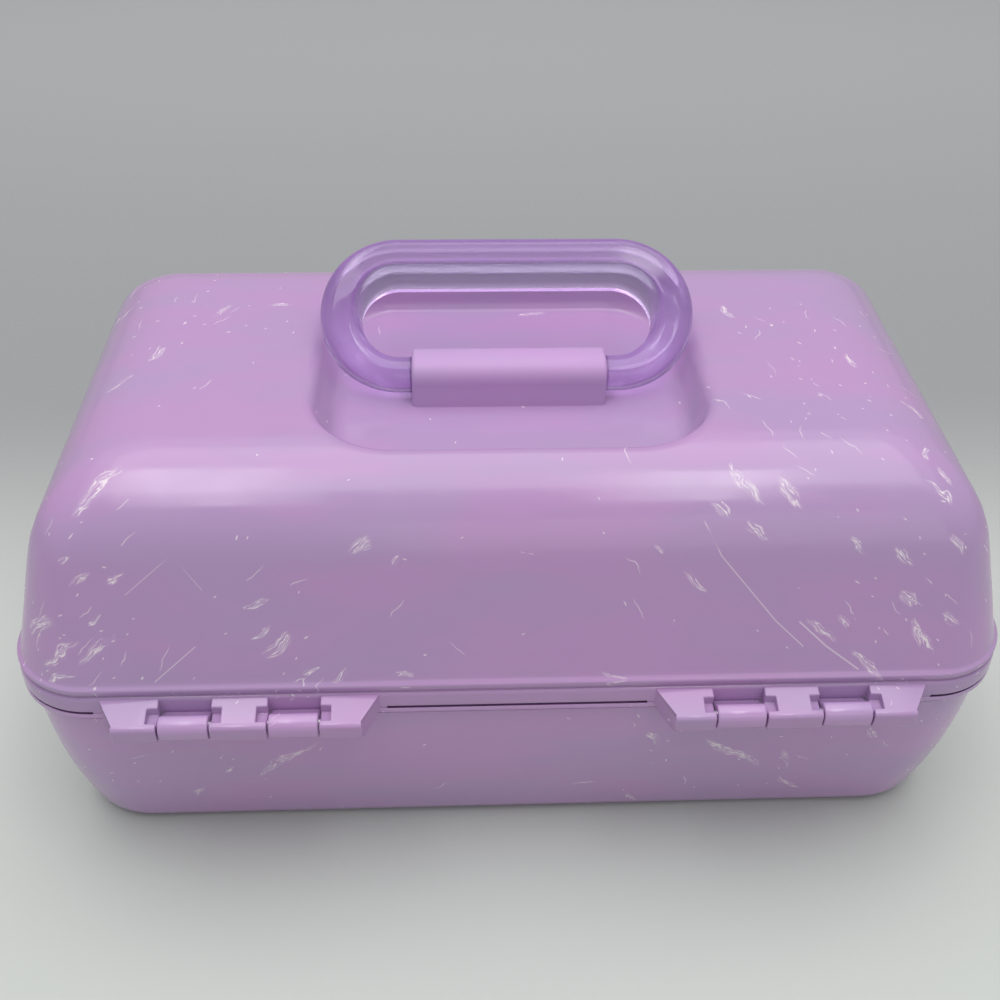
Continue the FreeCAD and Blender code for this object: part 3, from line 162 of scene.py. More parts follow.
def lid_wall_profile(offset):
    """Rows of height, half sizes and corner up the lid's wall and its round top."""
    lean = sum(LID_LEAN) / 2
    shoulder_z = LID_TOP - LID_ROUND * (1 - math.sin(math.radians(lean)))
    shoulder = [LID_WALL_INSET + (shoulder_z - LID_WALL_FOOT) * math.tan(math.radians(angle))
                for angle in LID_LEAN]
    rows = []
    for share in np.linspace(0, 1, 24)[:-1]:
        inset = [LID_WALL_INSET + offset + (edge - LID_WALL_INSET) * share for edge in shoulder]
        corner = (RIM_CORNER - LID_WALL_INSET) * (1 - share) + SHOULDER_CORNER * share - offset
        height = LID_WALL_FOOT + (shoulder_z - LID_WALL_FOOT) * share
        rows.append((height, RIM_X - inset[0], RIM_Y - inset[1], corner))
    for share in np.linspace(0, 1, 28):
        angle = math.radians(lean + (90 - lean) * share)
        turn = LID_ROUND * math.cos(math.radians(lean)) - (LID_ROUND - offset) * math.cos(angle)
        height = LID_TOP - LID_ROUND + (LID_ROUND - offset) * math.sin(angle)
        corner = SHOULDER_CORNER + (TOP_CORNER - SHOULDER_CORNER) * share - offset
        rows.append((height, RIM_X - shoulder[0] - turn, RIM_Y - shoulder[1] - turn, corner))
    return smoothed(rows, 16)


def edge_distance(points, half_x, half_y, corner):
    """Signed distance from points to a rounded rectangle, negative inside."""
    beyond_x = np.abs(points[:, 0]) - (half_x - corner)
    beyond_y = np.abs(points[:, 1]) - (half_y - corner)
    outside = np.hypot(np.maximum(beyond_x, 0), np.maximum(beyond_y, 0))
    return outside + np.minimum(np.maximum(beyond_x, beyond_y), 0) - corner


def dome_height(points, rows):
    """Height of the lid over points in plan, from the nested outlines of its profile."""
    low = np.zeros(len(points))
    high = np.full(len(points), len(rows) - 1.0)
    index = np.arange(len(rows))
    for _ in range(24):
        middle = (low + high) / 2
        sizes = [np.interp(middle, index, rows[:, column]) for column in (1, 2, 3)]
        inside = edge_distance(points, *sizes) < 0
        low = np.where(inside, middle, low)
        high = np.where(inside, high, middle)
    return np.interp((low + high) / 2, index, rows[:, 0])


def recess_profile(edge_round, foot_round, floor, top):
    """Pairs of shift from the recess's outline and height, going in and down from the lid's top."""
    lean = math.radians(RECESS_LEAN[0])
    reach = math.tan((math.pi / 2 - lean) / 2)
    pairs = []
    for share in np.linspace(0, 1, 9):
        angle = math.pi / 2 + (lean - math.pi / 2) * share
        pairs.append((edge_round * (reach - math.cos(angle)), top - edge_round * (1 - math.sin(angle))))
    foot_shift = -(top - floor) * math.tan(lean) - foot_round * reach
    foot = []
    for share in np.linspace(1, 0, 9):
        angle = (math.pi / 2 - lean) * share
        foot.append((foot_shift + foot_round * math.sin(angle), floor + foot_round * (1 - math.cos(angle))))
    start, end = pairs[-1], foot[0]
    middle = [(start[0] + (end[0] - start[0]) * share, start[1] + (end[1] - start[1]) * share)
              for share in (0.25, 0.5, 0.75)]
    return pairs + middle + foot


def lid_cap_rings(offset):
    """Rings up the lid's wall, over its top and down into the recess."""
    rows = lid_wall_profile(offset)
    top, floor = LID_TOP - offset, RECESS_FLOOR - offset
    shoulder = next(index for index, row in enumerate(rows) if row[0] > TURN_FROM)
    rings = [ring(*row) for row in rows[:shoulder]]
    start = outline(*rows[shoulder][1:])
    margin = 8.0
    grown = [half + offset for half in RECESS_HALF]
    corner = RECESS_CORNER + offset

    steeper = math.tan(math.radians(RECESS_LEAN[1])) / math.tan(math.radians(RECESS_LEAN[0]))

    def recess_outline(shift):
        return outline(grown[0] + shift, grown[1] + max(shift, shift * steeper), corner + shift)

    for share in np.linspace(0, 1, 34):
        flat = start * (1 - share) + recess_outline(margin) * share
        rings.append(np.column_stack([flat, dome_height(flat, rows)]))
    pairs = recess_profile(RECESS_EDGE, RECESS_FOOT, floor, top)
    for shift in np.linspace(margin, pairs[0][0], 6)[1:-1]:
        flat = recess_outline(shift)
        rings.append(np.column_stack([flat, dome_height(flat, rows)]))
    for shift, height in pairs:
        flat = recess_outline(shift)
        drop = top - dome_height(flat, rows)
        rings.append(np.column_stack([flat, height - drop * (height - floor) / (top - floor)]))
    rings.append(np.column_stack([recess_outline(pairs[-1][0] - 4), np.full(len(start), floor)]))
    return rings


def rim_ring(height, inset):
    return ring(height, RIM_X - inset, RIM_Y - inset, RIM_CORNER - min(inset, 24.0))


def parted(level, middle, upwards):
    """Move a ring to the edge of the slit between lid and base, which closes at the hinges."""
    at_hinge = (level[:, 1] > BACK_FROM) & (np.abs(level[:, 0]) > SLIT_ENDS[0] + 0.1)
    at_hinge &= np.abs(level[:, 0]) < SLIT_ENDS[1] + 0.1
    level[:, 2] += np.where(at_hinge, CLOSED_HALF, SLIT_HALF) * upwards + middle - level[:, 2].mean()
    return level


def lid_mesh():
    inside = [(LEDGE_Z + 4.0, LID_RIM_INSET + 0.8), (LEDGE_Z, LID_RIM_INSET)]
    middle = (LID_FOOT + BASE_TOP) / 2
    rings = lid_cap_rings(WALL)[::-1]
    rings += [rim_ring(*pair) for pair in inside]
    rings += [parted(rim_ring(0.0, inset), middle + rise, 1) for rise, inset in LID_EDGE]
    rings += [rim_ring(LEDGE_Z + rise, inset) for rise, inset in LID_RIM]
    rings += lid_cap_rings(0.0)
    return skin(rings)


def base_half(level, inset):
    """Half sizes of the base's wall, at a share of its height below its top."""
    return [rim - BASE_WALL_INSET - inset - draw * level ** 2
            for rim, draw in zip((RIM_X, RIM_Y), BASE_DRAW)]


def base_profile(offset):
    """Rows of height, half sizes and corner from the resting face up the base's wall."""
    share = 1 - FOOT_RADIUS / BASE_WALL_TOP
    rows = []
    for angle in np.radians(np.linspace(90, 0, 14)):
        turn = FOOT_RADIUS - (FOOT_RADIUS - offset) * math.cos(angle)
        height = FOOT_RADIUS - (FOOT_RADIUS - offset) * math.sin(angle)
        rows.append((height, *base_half(share, turn), FOOT_CORNER - offset))
    for level in np.linspace(share, 0, 24)[1:]:
        rows.append((BASE_WALL_TOP * (1 - level), *base_half(level, offset), FOOT_CORNER - offset))
    return smoothed(rows, 5)


def base_mesh():
    band_foot = BASE_TOP - BASE_BAND_HEIGHT
    tongue_top = BASE_TOP + TONGUE_RISE
    inner = TONGUE_INSET + TONGUE_WALL
    tongue = [(tongue_top - 0.3, TONGUE_INSET), (tongue_top, TONGUE_INSET + 0.3), (tongue_top, inner - 0.3),
              (tongue_top - 0.3, inner), (band_foot, inner), (band_foot - 0.1, inner - 0.6)]
    middle = (LID_FOOT + BASE_TOP) / 2
    rings = [ring(*row) for row in base_profile(0.0)]
    rings += [rim_ring(BASE_WALL_TOP + rise, inset) for rise, inset in BASE_RIDGES]
    rings += [rim_ring(band_foot + rise, inset) for rise, inset in BASE_BAND]
    rings += [parted(rim_ring(0.0, inset), middle - drop, -1) for drop, inset in BASE_EDGE]
    rings += [rim_ring(*pair) for pair in tongue]
    for level in rings:
        # The tongue gives way where the lid's stud bosses come down
        gap = (np.abs(level[:, 0]) > ENDS_FROM) & (np.abs(level[:, 1] - STUD[0]) < BOSS_RADIUS + 1.5)
        level[gap & (level[:, 2] > BASE_TOP), 2] = BASE_TOP
    rings += [ring(*row) for row in base_profile(WALL)[::-1]]
    return skin(rings)


# Prisms and cylinders with rounded edges

def prism(side, start, end, slants=(0.0, 0.0), front=None):
    """Solid with a side view in Y and Z, between two places along X. Its ends may slant to the front."""
    mesh = bmesh.new()
    near = side[0][0] if front is None else front[0]
    reach = 1.0 if front is None else front[1] - front[0]
    loops = []
    for place, slant in ((start, slants[0]), (end, -slants[1])):
        places = [place + slant * min(max((y - near) / reach, 0), 1) for y, z in side]
        loops.append([mesh.verts.new((x, y, z)) for x, (y, z) in zip(places, side)])
    count = len(side)
    mesh.faces.new(loops[0][::-1])
    mesh.faces.new(loops[1])
    for index in range(count):
        after = (index + 1) % count
        mesh.faces.new([loops[0][index], loops[0][after], loops[1][after], loops[1][index]])
    bmesh.ops.recalc_face_normals(mesh, faces=mesh.faces)
    return mesh


def disc_side(centre, radius, steps=40):
    angles = [2 * math.pi * step / steps for step in range(steps)]
    return [(centre[0] + radius * math.cos(angle), centre[1] + radius * math.sin(angle)) for angle in angles]


def rounded(mesh, width, segments=2, limit=30):
    """Bevel every edge that is sharper than a limit."""
    edges = [edge for edge in mesh.edges
             if len(edge.link_faces) == 2 and edge.calc_face_angle(0) > math.radians(limit)]
    bmesh.ops.bevel(mesh, geom=edges, offset=width, segments=segments, profile=0.5, affect="EDGES",
                    clamp_overlap=True)
    return mesh


def to_mesh_object(mesh, name, sharp=40):
    """Object of a mesh made in millimetres, smooth but at sharp edges and round large flat faces."""
    for face in mesh.faces:
        face.smooth = True
    for edge in mesh.edges:
        if len(edge.link_faces) == 2:
            angle = math.degrees(edge.calc_face_angle(0))
            small, large = sorted(face.calc_area() for face in edge.link_faces)
            beside_flat = large > FLAT_AREA and small < large / 4 and angle > FLAT_TURN
            edge.smooth = angle <= sharp and not beside_flat
    bmesh.ops.scale(mesh, vec=(MM, MM, MM), verts=mesh.verts)
    data = bpy.data.meshes.new(name)
    mesh.to_mesh(data)
    mesh.free()
    item = bpy.data.objects.new(name, data)
    bpy.context.scene.collection.objects.link(item)
    return item


def joined(meshes):
    whole = bmesh.new()
    for mesh in meshes:
        data = bpy.data.meshes.new("piece")
        mesh.to_mesh(data)
        mesh.free()
        whole.from_mesh(data)
        bpy.data.meshes.remove(data)
    return whole


def cut(mesh, cutters):
    """Take box-like meshes out of a mesh."""
    scratch = []
    for index, part in enumerate([mesh] + cutters):
        data = bpy.data.meshes.new("scratch%d" % index)
        part.to_mesh(data)
        part.free()
        item = bpy.data.objects.new("scratch%d" % index, data)
        bpy.context.scene.collection.objects.link(item)
        scratch.append(item)
    for cutter in scratch[1:]:
        step = scratch[0].modifiers.new("cut", "BOOLEAN")
        step.operation = "DIFFERENCE"
        step.solver = "EXACT"
        step.object = cutter
    shaped = scratch[0].evaluated_get(bpy.context.evaluated_depsgraph_get())
    result = bmesh.new()
    result.from_mesh(shaped.to_mesh())
    for item in scratch:
        bpy.data.objects.remove(item)
    bmesh.ops.dissolve_limit(result, angle_limit=math.radians(1), verts=result.verts, edges=result.edges)
    return result


def block(low, high):
    side = [(low[1], low[2]), (high[1], low[2]), (high[1], high[2]), (low[1], high[2])]
    return prism(side, low[0], high[0])


def mirrored(make):
    """A piece on the right and its mirror image on the left."""
    right, left = make(), make()
    bmesh.ops.scale(left, vec=(-1, 1, 1), verts=left.verts)
    bmesh.ops.reverse_faces(left, faces=left.faces)
    return [right, left]


def hinge_leaf():
    front, top = HINGE_Y + BARREL, LEDGE_Z - 0.3
    nose, foot = HINGE_Z + 3.7, HINGE_Z - LEAF_DROP
    side = [(RIM_Y - 1.0, LID_FOOT + 0.35), (RIM_Y - 1.0, top), (RIM_Y, top)]
    for centre_z, start in ((nose - LEAF_ROUND, 90), (foot + LEAF_ROUND, 0)):
        for angle in np.radians(np.linspace(start, start - 90, 7)):
            side.append((front - LEAF_ROUND * (1 - math.cos(angle)),
                         centre_z + LEAF_ROUND * math.sin(angle)))
    side += [(HINGE_Y - BARREL / 2, foot), (RIM_Y - 0.2, LID_FOOT + 0.35)]
    leaf = prism(side, LEAF_SPAN[0], LEAF_SPAN[1], LEAF_SLANT, (RIM_Y, front - LEAF_ROUND))
    windows, notches = [], []
    for start, end in KNUCKLES:
        low, high = start - KNUCKLE_GAP, end + KNUCKLE_GAP
        windows.append(block((low, RIM_Y - 2, LEAF_CUT_LOW), (high, LEAF_CUT_OUT, LEAF_CUT_HIGH)))
        notches.append(block((low - NOTCH_WIDTH, NOTCH_Y[0], NOTCH_FLOOR),
                             (high + NOTCH_WIDTH, NOTCH_Y[1], LEAF_CUT_HIGH)))
    return rounded(cut(leaf, windows + notches), 0.55, 3, 20)


def knuckle(span):
    """Barrel that is squarer in front and flat at the back of its top, with a web down to the base."""
    square_power, flat_reach, flat_facing = 2.7, 3.4, math.radians(133)
    side = []
    for angle in range(-80, 176, 8):
        turn = math.radians(angle)
        across, up = math.cos(turn), math.sin(turn)
        bulge = abs(across) ** square_power + abs(up) ** square_power
        square = BARREL / bulge ** (1 / square_power)
        back = flat_reach / max(math.cos(turn - flat_facing), 0.1)
        reach = min(square if angle > 0 else BARREL, back if angle > 80 else 99, BARREL * 1.12)
        side.append((HINGE_Y + reach * across, HINGE_Z + reach * up))
    side += [(RIM_Y - 0.5, BASE_TOP - 0.35), (RIM_Y - 3.0, BASE_TOP - 0.35), (RIM_Y - 3.0, HINGE_Z - 9.0)]
    return rounded(prism(side, span[0], span[1]), 0.6, 3, 40)


def boss(centre, span):
    return rounded(prism(disc_side(centre, BOSS_RADIUS), *span), 0.3, 2, 60)


def lid_fittings():
    """Hinge leaves, latch ears, mirror posts and stud bosses, all moulded with the lid."""
    ear = disc_side((LATCH_Y, LATCH_Z), EAR_RADIUS, 32)
    arc = [point for point in ear if point[0] < LATCH_Y + 0.5]
    arc.sort(key=lambda point: -math.atan2(point[1] - LATCH_Z, -(point[0] - LATCH_Y)))
    ear_side = [(-(RIM_Y - 0.5), LEDGE_Z - 0.3)] + arc + [(-(RIM_Y - 0.5), LATCH_Z - EAR_RADIUS)]
    pieces = mirrored(hinge_leaf)
    pieces += mirrored(lambda: rounded(prism(ear_side, *EAR_SPAN), 0.4, 2, 40))
    pieces += mirrored(lambda: boss(STUD, LID_BOSS_SPAN))
    for place in (POST_Y, -POST_Y):
        def post():
            item = prism(disc_side((0, 0), POST_RADIUS), POST_FOOT, LID_TOP - WALL / 2)
            turn = Matrix.Rotation(math.radians(-90), 4, "Y")
            bmesh.ops.transform(item, matrix=Matrix.Translation((POST_X, place, 0)) @ turn, verts=item.verts)
            return rounded(item, 0.3, 2, 60)
        pieces += mirrored(post)
    return pieces


def base_fittings():
    """Knuckles, keeper and arm bosses, all moulded with the base."""
    pieces = []
    for span in KNUCKLES:
        pieces += mirrored(lambda: knuckle(span))
    for pivot in ARM_PIVOTS:
        pieces += mirrored(lambda: boss(pivot, BASE_BOSS_SPAN))
    root_y, nose_y, nose_z = -(RIM_Y - KEEPER_ROOT), -(RIM_Y + KEEPER_REACH), BASE_TOP - KEEPER_DROP
    keeper = [(root_y, nose_z), (nose_y, nose_z), (nose_y, nose_z + KEEPER_RISES[0]),
              (root_y, nose_z + KEEPER_RISES[1])]
    pieces.append(rounded(prism(keeper, -KEEPER_HALF, KEEPER_HALF), 0.4, 2, 20))
    return pieces


def handle_section(share):
    """Section of the handle across and along its plane, round in the bridge and deep at the grip."""
    near, middle, far = (1 - share) * (1 - 2 * share), 4 * share * (1 - share), share * (2 * share - 1)
    half = BAR_RADIUS * near + SIDE_HALF * middle + GRIP_HALF * far
    depth = BAR_RADIUS + (GRIP_DEPTH - BAR_RADIUS) * share * share * (3 - 2 * share)
    outer, inner = [BAR_RADIUS * 0.97 * (1 - share) + edge * share for edge in GRIP_EDGES]
    arcs = []
    for quarter, (across, along, corner) in enumerate(((1, 1, outer), (-1, 1, inner),
                                                       (-1, -1, inner), (1, -1, outer))):
        angles = [math.radians(90 * quarter + 9 * step) for step in range(11)]
        arcs.append([(across * (half - corner) + corner * math.cos(angle),
                      along * (depth - corner) + corner * math.sin(angle)) for angle in angles])
    pairs = list(arcs[0])
    for before, arc in zip(arcs, arcs[1:]):
        start, end = np.array(before[-1]), np.array(arc[0])
        pairs += [tuple(start * (1 - part) + end * part) for part in (0.25, 0.5, 0.75)]
        pairs += arc
    # The inside slants away from the middle of its depth, more in front than behind
    slants = [GRIP_SLANTS[0 if along > 0 else 1] * share * abs(along) / depth for across, along in pairs]
    pairs = [(across * (1 - slant) if across < 0 else across, along)
             for (across, along), slant in zip(pairs, slants)]
    # The mould's parting line stands a little proud round the outside
    foot = depth - outer
    pairs += [(half, -foot * 0.5), (half, -0.35), (half + 0.16, 0.0), (half, 0.35), (half, foot * 0.5)]
    return pairs


def handle_mesh():
    radius = BAIL_HEIGHT / 2
    hub = BAIL_HALF_WIDTH - radius
    lean = math.radians(BAIL_LEAN)
    rise, normal = (-math.sin(lean), math.cos(lean)), (math.cos(lean), math.sin(lean))
    angles = [(angle, hub) for angle in range(-90, 91, 5)] + [(angle, -hub) for angle in range(90, 271, 5)]
    rows = []
    for angle, centre in angles:
        across, up = math.cos(math.radians(angle)), math.sin(math.radians(angle))
        row = []
        for out, depth in handle_section((up + 1) / 2):
            height = radius + (radius + out) * up
            row.append((centre + (radius + out) * across,
                        BAIL_PLACE[0] + height * rise[0] + depth * normal[0],
                        BAIL_PLACE[1] + height * rise[1] + depth * normal[1]))
        rows.append(row)
    mesh = bmesh.new()
    points = [[mesh.verts.new(point) for point in row] for row in rows]
    for index, row in enumerate(points):
        after = points[(index + 1) % len(points)]
        for step in range(len(row)):
            beyond = (step + 1) % len(row)
            mesh.faces.new([row[step], row[beyond], after[beyond], after[step]])
    bmesh.ops.recalc_face_normals(mesh, faces=mesh.faces)
    return mesh


def latch_mesh():
    """Latch plate that hangs from its knuckle, with a lip to pull, a hook behind and ribs in front."""
    side = [(LATCH_Y + EAR_RADIUS * math.cos(angle), LATCH_Z + EAR_RADIUS * math.sin(angle))
            for angle in np.radians(np.linspace(*LATCH_ARC, 28))]
    outer, inner = LATCH_PLATE
    side += [(outer - reach, height) for reach, height in LATCH_LIP]
    side += [(inner + reach, height) for reach, height in LATCH_HOOK]
    pieces = [rounded(prism(side, -LATCH_HALF, LATCH_HALF), 0.45, 2, 40)]
    for height in LATCH_RIBS:
        rib = block((-RIB_HALF, outer - 0.5, height), (RIB_HALF, outer + 0.2, height + RIB_HEIGHT))
        pieces.append(rounded(rib, 0.3, 2, 40))
    return joined(pieces)


def bridge_mesh():
    """Saddle over the handle's bar, flatter on top than a tube, with legs down to the recess."""
    middle_y, middle_z = BAIL_PLACE
    foot = RECESS_FLOOR - 0.3
    side = [(middle_y + BRIDGE_FOOT, foot)]
    for angle in np.radians(np.linspace(0, 180, 37)):
        across, up = math.cos(angle), math.sin(angle)
        bulge = abs(across) ** BRIDGE_SQUARE + abs(up) ** BRIDGE_SQUARE
        reach = BRIDGE_OUTER / bulge ** (1 / BRIDGE_SQUARE)
        side.append((middle_y + reach * across, middle_z + (reach - BRIDGE_DROP) * up))
    side += [(middle_y - BRIDGE_FOOT, foot), (middle_y - BRIDGE_INNER, foot)]
    side += [(middle_y + BRIDGE_INNER * math.cos(angle), middle_z + BRIDGE_INNER * math.sin(angle))
             for angle in np.radians(np.linspace(180, 0, 25))]
    side.append((middle_y + BRIDGE_INNER, foot))
    mesh = prism(side, -BRIDGE_HALF, BRIDGE_HALF)

    def outside(vert):
        far = math.hypot(vert.co.y - middle_y, vert.co.z - middle_z)
        return abs(vert.co.x) > BRIDGE_HALF - 0.01 and far > BRIDGE_INNER + 1

    edges = [edge for edge in mesh.edges if all(outside(vert) for vert in edge.verts)
             and abs(edge.verts[0].co.x - edge.verts[1].co.x) < 1
             and max(vert.co.z for vert in edge.verts) > foot + 0.01]
    bmesh.ops.bevel(mesh, geom=edges, offset=BRIDGE_ROUND, segments=4, profile=0.5, affect="EDGES",
                    clamp_overlap=True)
    return mesh


def placed(mesh, name, node, body, sharp=40):
    """Put a piece in the place of a solid, on the body that it moves with."""
    item = to_mesh_object(mesh, name, sharp)
    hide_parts(node)
    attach(item, body)
    return item


lid = placed(joined([lid_mesh()] + lid_fittings()), "lid", "lid_shell", "lid")
base = placed(joined([base_mesh()] + base_fittings()), "base", "base_tub", "base")
handle = placed(handle_mesh(), "handle", "handle_bail", "handle", 60)
bridge = placed(bridge_mesh(), "bridge", "handle_bridge", "lid")
latch = placed(latch_mesh(), "latch", "latch_tab", "latch")


# Materials. Places and lengths in them are in millimetres, in the case's own frame.

class Paint:
    """A material and short ways to add nodes to it."""

    def __init__(self, name, roughness=0.4, metallic=0.0):
        self.material = bpy.data.materials.new(name)
        self.material.use_nodes = True
        self.tree = self.material.node_tree
        self.shader = self.tree.nodes["Principled BSDF"]
        self.shader.inputs["Roughness"].default_value = roughness
        self.shader.inputs["Metallic"].default_value = metallic
        coordinates = self.add("TexCoord")
        self.normal = coordinates.outputs["Normal"]
        self.place = self.vector("SCALE", coordinates.outputs["Object"], scale=1 / MM)

    def add(self, kind, **settings):
        node = self.tree.nodes.new("ShaderNode" + kind)
        for name, value in settings.items():
            setattr(node, name, value)
        return node

    def feed(self, socket, value):
        if isinstance(value, bpy.types.NodeSocket):
            self.tree.links.new(value, socket)
        else:
            socket.default_value = value

    def math(self, operation, *values):
        node = self.add("Math", operation=operation)
        for socket, value in zip(node.inputs, values):
            self.feed(socket, value)
        return node.outputs[0]

    def vector(self, operation, *values, scale=1.0):
        node = self.add("VectorMath", operation=operation)
        for socket, value in zip(node.inputs, values):
            self.feed(socket, value)
        if operation == "SCALE":
            node.inputs["Scale"].default_value = scale
        return node.outputs["Value" if operation in ("DOT_PRODUCT", "LENGTH", "DISTANCE") else "Vector"]

    def noise(self, place, scale, detail=2.0, coloured=False):
        node = self.add("TexNoise")
        self.feed(node.inputs["Vector"], place)
        node.inputs["Scale"].default_value = scale
        node.inputs["Detail"].default_value = detail
        return node.outputs[1 if coloured else 0]

    def ease(self, value, low, high, to_low=0.0, to_high=1.0):
        node = self.add("MapRange", interpolation_type="SMOOTHSTEP")
        names = ("Value", "From Min", "From Max", "To Min", "To Max")
        for name, number in zip(names, (value, low, high, to_low, to_high)):
            self.feed(node.inputs[name], number)
        return node.outputs["Result"]

    def mix(self, share, first, second):
        node = self.add("Mix", data_type="RGBA")
        self.feed(node.inputs[0], share)
        for socket, colour in ((node.inputs[6], first), (node.inputs[7], second)):
            self.feed(socket, (*colour, 1) if isinstance(colour, tuple) else colour)
        return node.outputs[2]

    def most(self, values):
        total = values[0]
        for value in values[1:]:
            total = self.math("MAXIMUM", total, value)
        return total

    def set(self, name, value):
        self.feed(self.shader.inputs[name], value)

    def bump(self, height, distance, strength=1.0):
        node = self.add("Bump")
        node.inputs["Strength"].default_value = strength
        node.inputs["Distance"].default_value = distance * MM
        self.feed(node.inputs["Height"], height)
        self.set("Normal", node.outputs["Normal"])


class Wear:
    """Pale marks on a plastic, gathered as soft bodies with places across and along each."""

    def __init__(self, paint):
        self.paint = paint
        wave = paint.vector("SUBTRACT", paint.noise(paint.place, 0.11, 2.0, True), (0.5, 0.5, 0.5))
        self.place = paint.vector("ADD", paint.place, paint.vector("SCALE", wave, scale=6.0))
        self.bodies, self.across, self.along, self.lines = [], [], [], []

    def body(self, across, along, half_width, half_length):
        """Soft oval round a mark's middle."""
        wide = self.paint.math("DIVIDE", across, half_width)
        far = self.paint.math("DIVIDE", along, half_length)
        return self.paint.ease(self.paint.math("ADD", self.paint.math("MULTIPLY", wide, wide),
                                               self.paint.math("MULTIPLY", far, far)), 1.0, 0.2)

    def feather(self, across, along, body):
        """Keep a mark that is to be broken into fine strands."""
        chosen = self.paint.math("GREATER_THAN", body, 0.001)
        self.bodies.append(body)
        self.across.append(self.paint.math("MULTIPLY", across, chosen))
        self.along.append(self.paint.math("MULTIPLY", along, chosen))

    def blot(self, centre, run, half_width, half_length):
        """One feathered mark at a set place."""
        run = Vector(run).normalized()
        cross = Vector((0.0, 0.92, 0.39)).cross(run).normalized()
        offset = self.paint.vector("SUBTRACT", self.place, centre)
        across = self.paint.vector("DOT_PRODUCT", offset, tuple(cross))
        along = self.paint.vector("DOT_PRODUCT", offset, tuple(run))
        near = self.paint.math("LESS_THAN", self.paint.vector("LENGTH", offset), half_length * 1.5)
        body = self.paint.math("MULTIPLY", self.body(across, along, half_width, half_length), near)
        self.feather(across, along, body)

    def scratch(self, start, end, half_width, share):
        """A thin line between two places."""
        span = Vector(end) - Vector(start)
        offset = self.paint.vector("SUBTRACT", self.paint.place, start)
        part = self.paint.vector("DOT_PRODUCT", offset, tuple(span))
        part = self.paint.math("DIVIDE", part, span.length_squared)
        part = self.paint.math("MINIMUM", self.paint.math("MAXIMUM", part, 0.0), 1.0)
        foot = self.paint.add("CombineXYZ")
        for socket, size in zip(foot.inputs, span):
            self.paint.feed(socket, self.paint.math("MULTIPLY", part, size))
        gap = self.paint.vector("DISTANCE", offset, foot.outputs[0])
        self.lines.append(self.paint.ease(gap, half_width, half_width * 0.2, 0.0, share))

    def scattered(self, density, cell, half_width, half_length, seed, share=None):
        """Marks at random places, more where the density is higher, feathered unless a share is given."""
        paint = self.paint
        shifted = paint.vector("ADD", self.place, (seed, seed * 1.7, seed * 0.6))
        spot = paint.vector("SCALE", shifted, scale=1 / cell)
        cells = paint.add("TexVoronoi")
        paint.feed(cells.inputs["Vector"], spot)
        cells.inputs["Scale"].default_value = 1.0
        chance = cells.outputs["Color"]
        offset = paint.vector("SCALE", paint.vector("SUBTRACT", spot, cells.outputs["Position"]), scale=cell)
        # Marks lean one way on the left half of the case and the other way on the right half
        sideways = paint.vector("DOT_PRODUCT", paint.place, (1.0, 0.0, 0.0))
        side = paint.ease(sideways, -70.0, 70.0, *LEAN_SIDES)
        lean = paint.add("CombineXYZ")
        paint.feed(lean.inputs[0], side)
        lean.inputs[1].default_value, lean.inputs[2].default_value = LEAN_BACK_UP
        loose = paint.vector("SCALE", paint.vector("SUBTRACT", chance, (0.5, 0.5, 0.5)), scale=0.9)
        turned = paint.vector("ADD", loose, lean.outputs[0])
        run = paint.vector("NORMALIZE", paint.vector("CROSS_PRODUCT", turned, paint.normal))
        cross = paint.vector("CROSS_PRODUCT", paint.normal, run)
        across = paint.vector("DOT_PRODUCT", offset, cross)
        along = paint.vector("DOT_PRODUCT", offset, run)
        kept = paint.math("LESS_THAN", paint.vector("DOT_PRODUCT", chance, (0.0, 0.0, 1.0)), density)
        body = paint.math("MULTIPLY", self.body(across, along, half_width, half_length), kept)
        if share is None:
            self.feather(across, along, body)
        else:
            self.lines.append(paint.math("MULTIPLY", body, share))

    def total(self):
        """How pale each point is: strands and a little smear in the feathered marks, and the lines."""
        paint = self.paint
        sums = []
        for parts in (self.across, self.along):
            whole = parts[0]
            for part in parts[1:]:
                whole = paint.math("ADD", whole, part)
            sums.append(whole)
        strands = paint.add("CombineXYZ")
        paint.feed(strands.inputs[0], sums[0])
        paint.feed(strands.inputs[1], paint.math("MULTIPLY", sums[1], STRAND_STRETCH))
        paint.feed(strands.inputs[2], paint.vector("DOT_PRODUCT", paint.place, (0.05, 0.05, 0.05)))
        field = paint.noise(strands.outputs[0], 1.0, 2.0)
        strand = paint.ease(paint.math("ABSOLUTE", paint.math("SUBTRACT", field, 0.5)), 0.05, 0.01)
        smear = paint.ease(field, 0.5, 0.68, 0.05, 0.4)
        feathered = paint.math("MULTIPLY", paint.most(self.bodies), paint.math("MAXIMUM", strand, smear))
        return paint.most([paint.math("MULTIPLY", feathered, 0.8)] + self.lines)


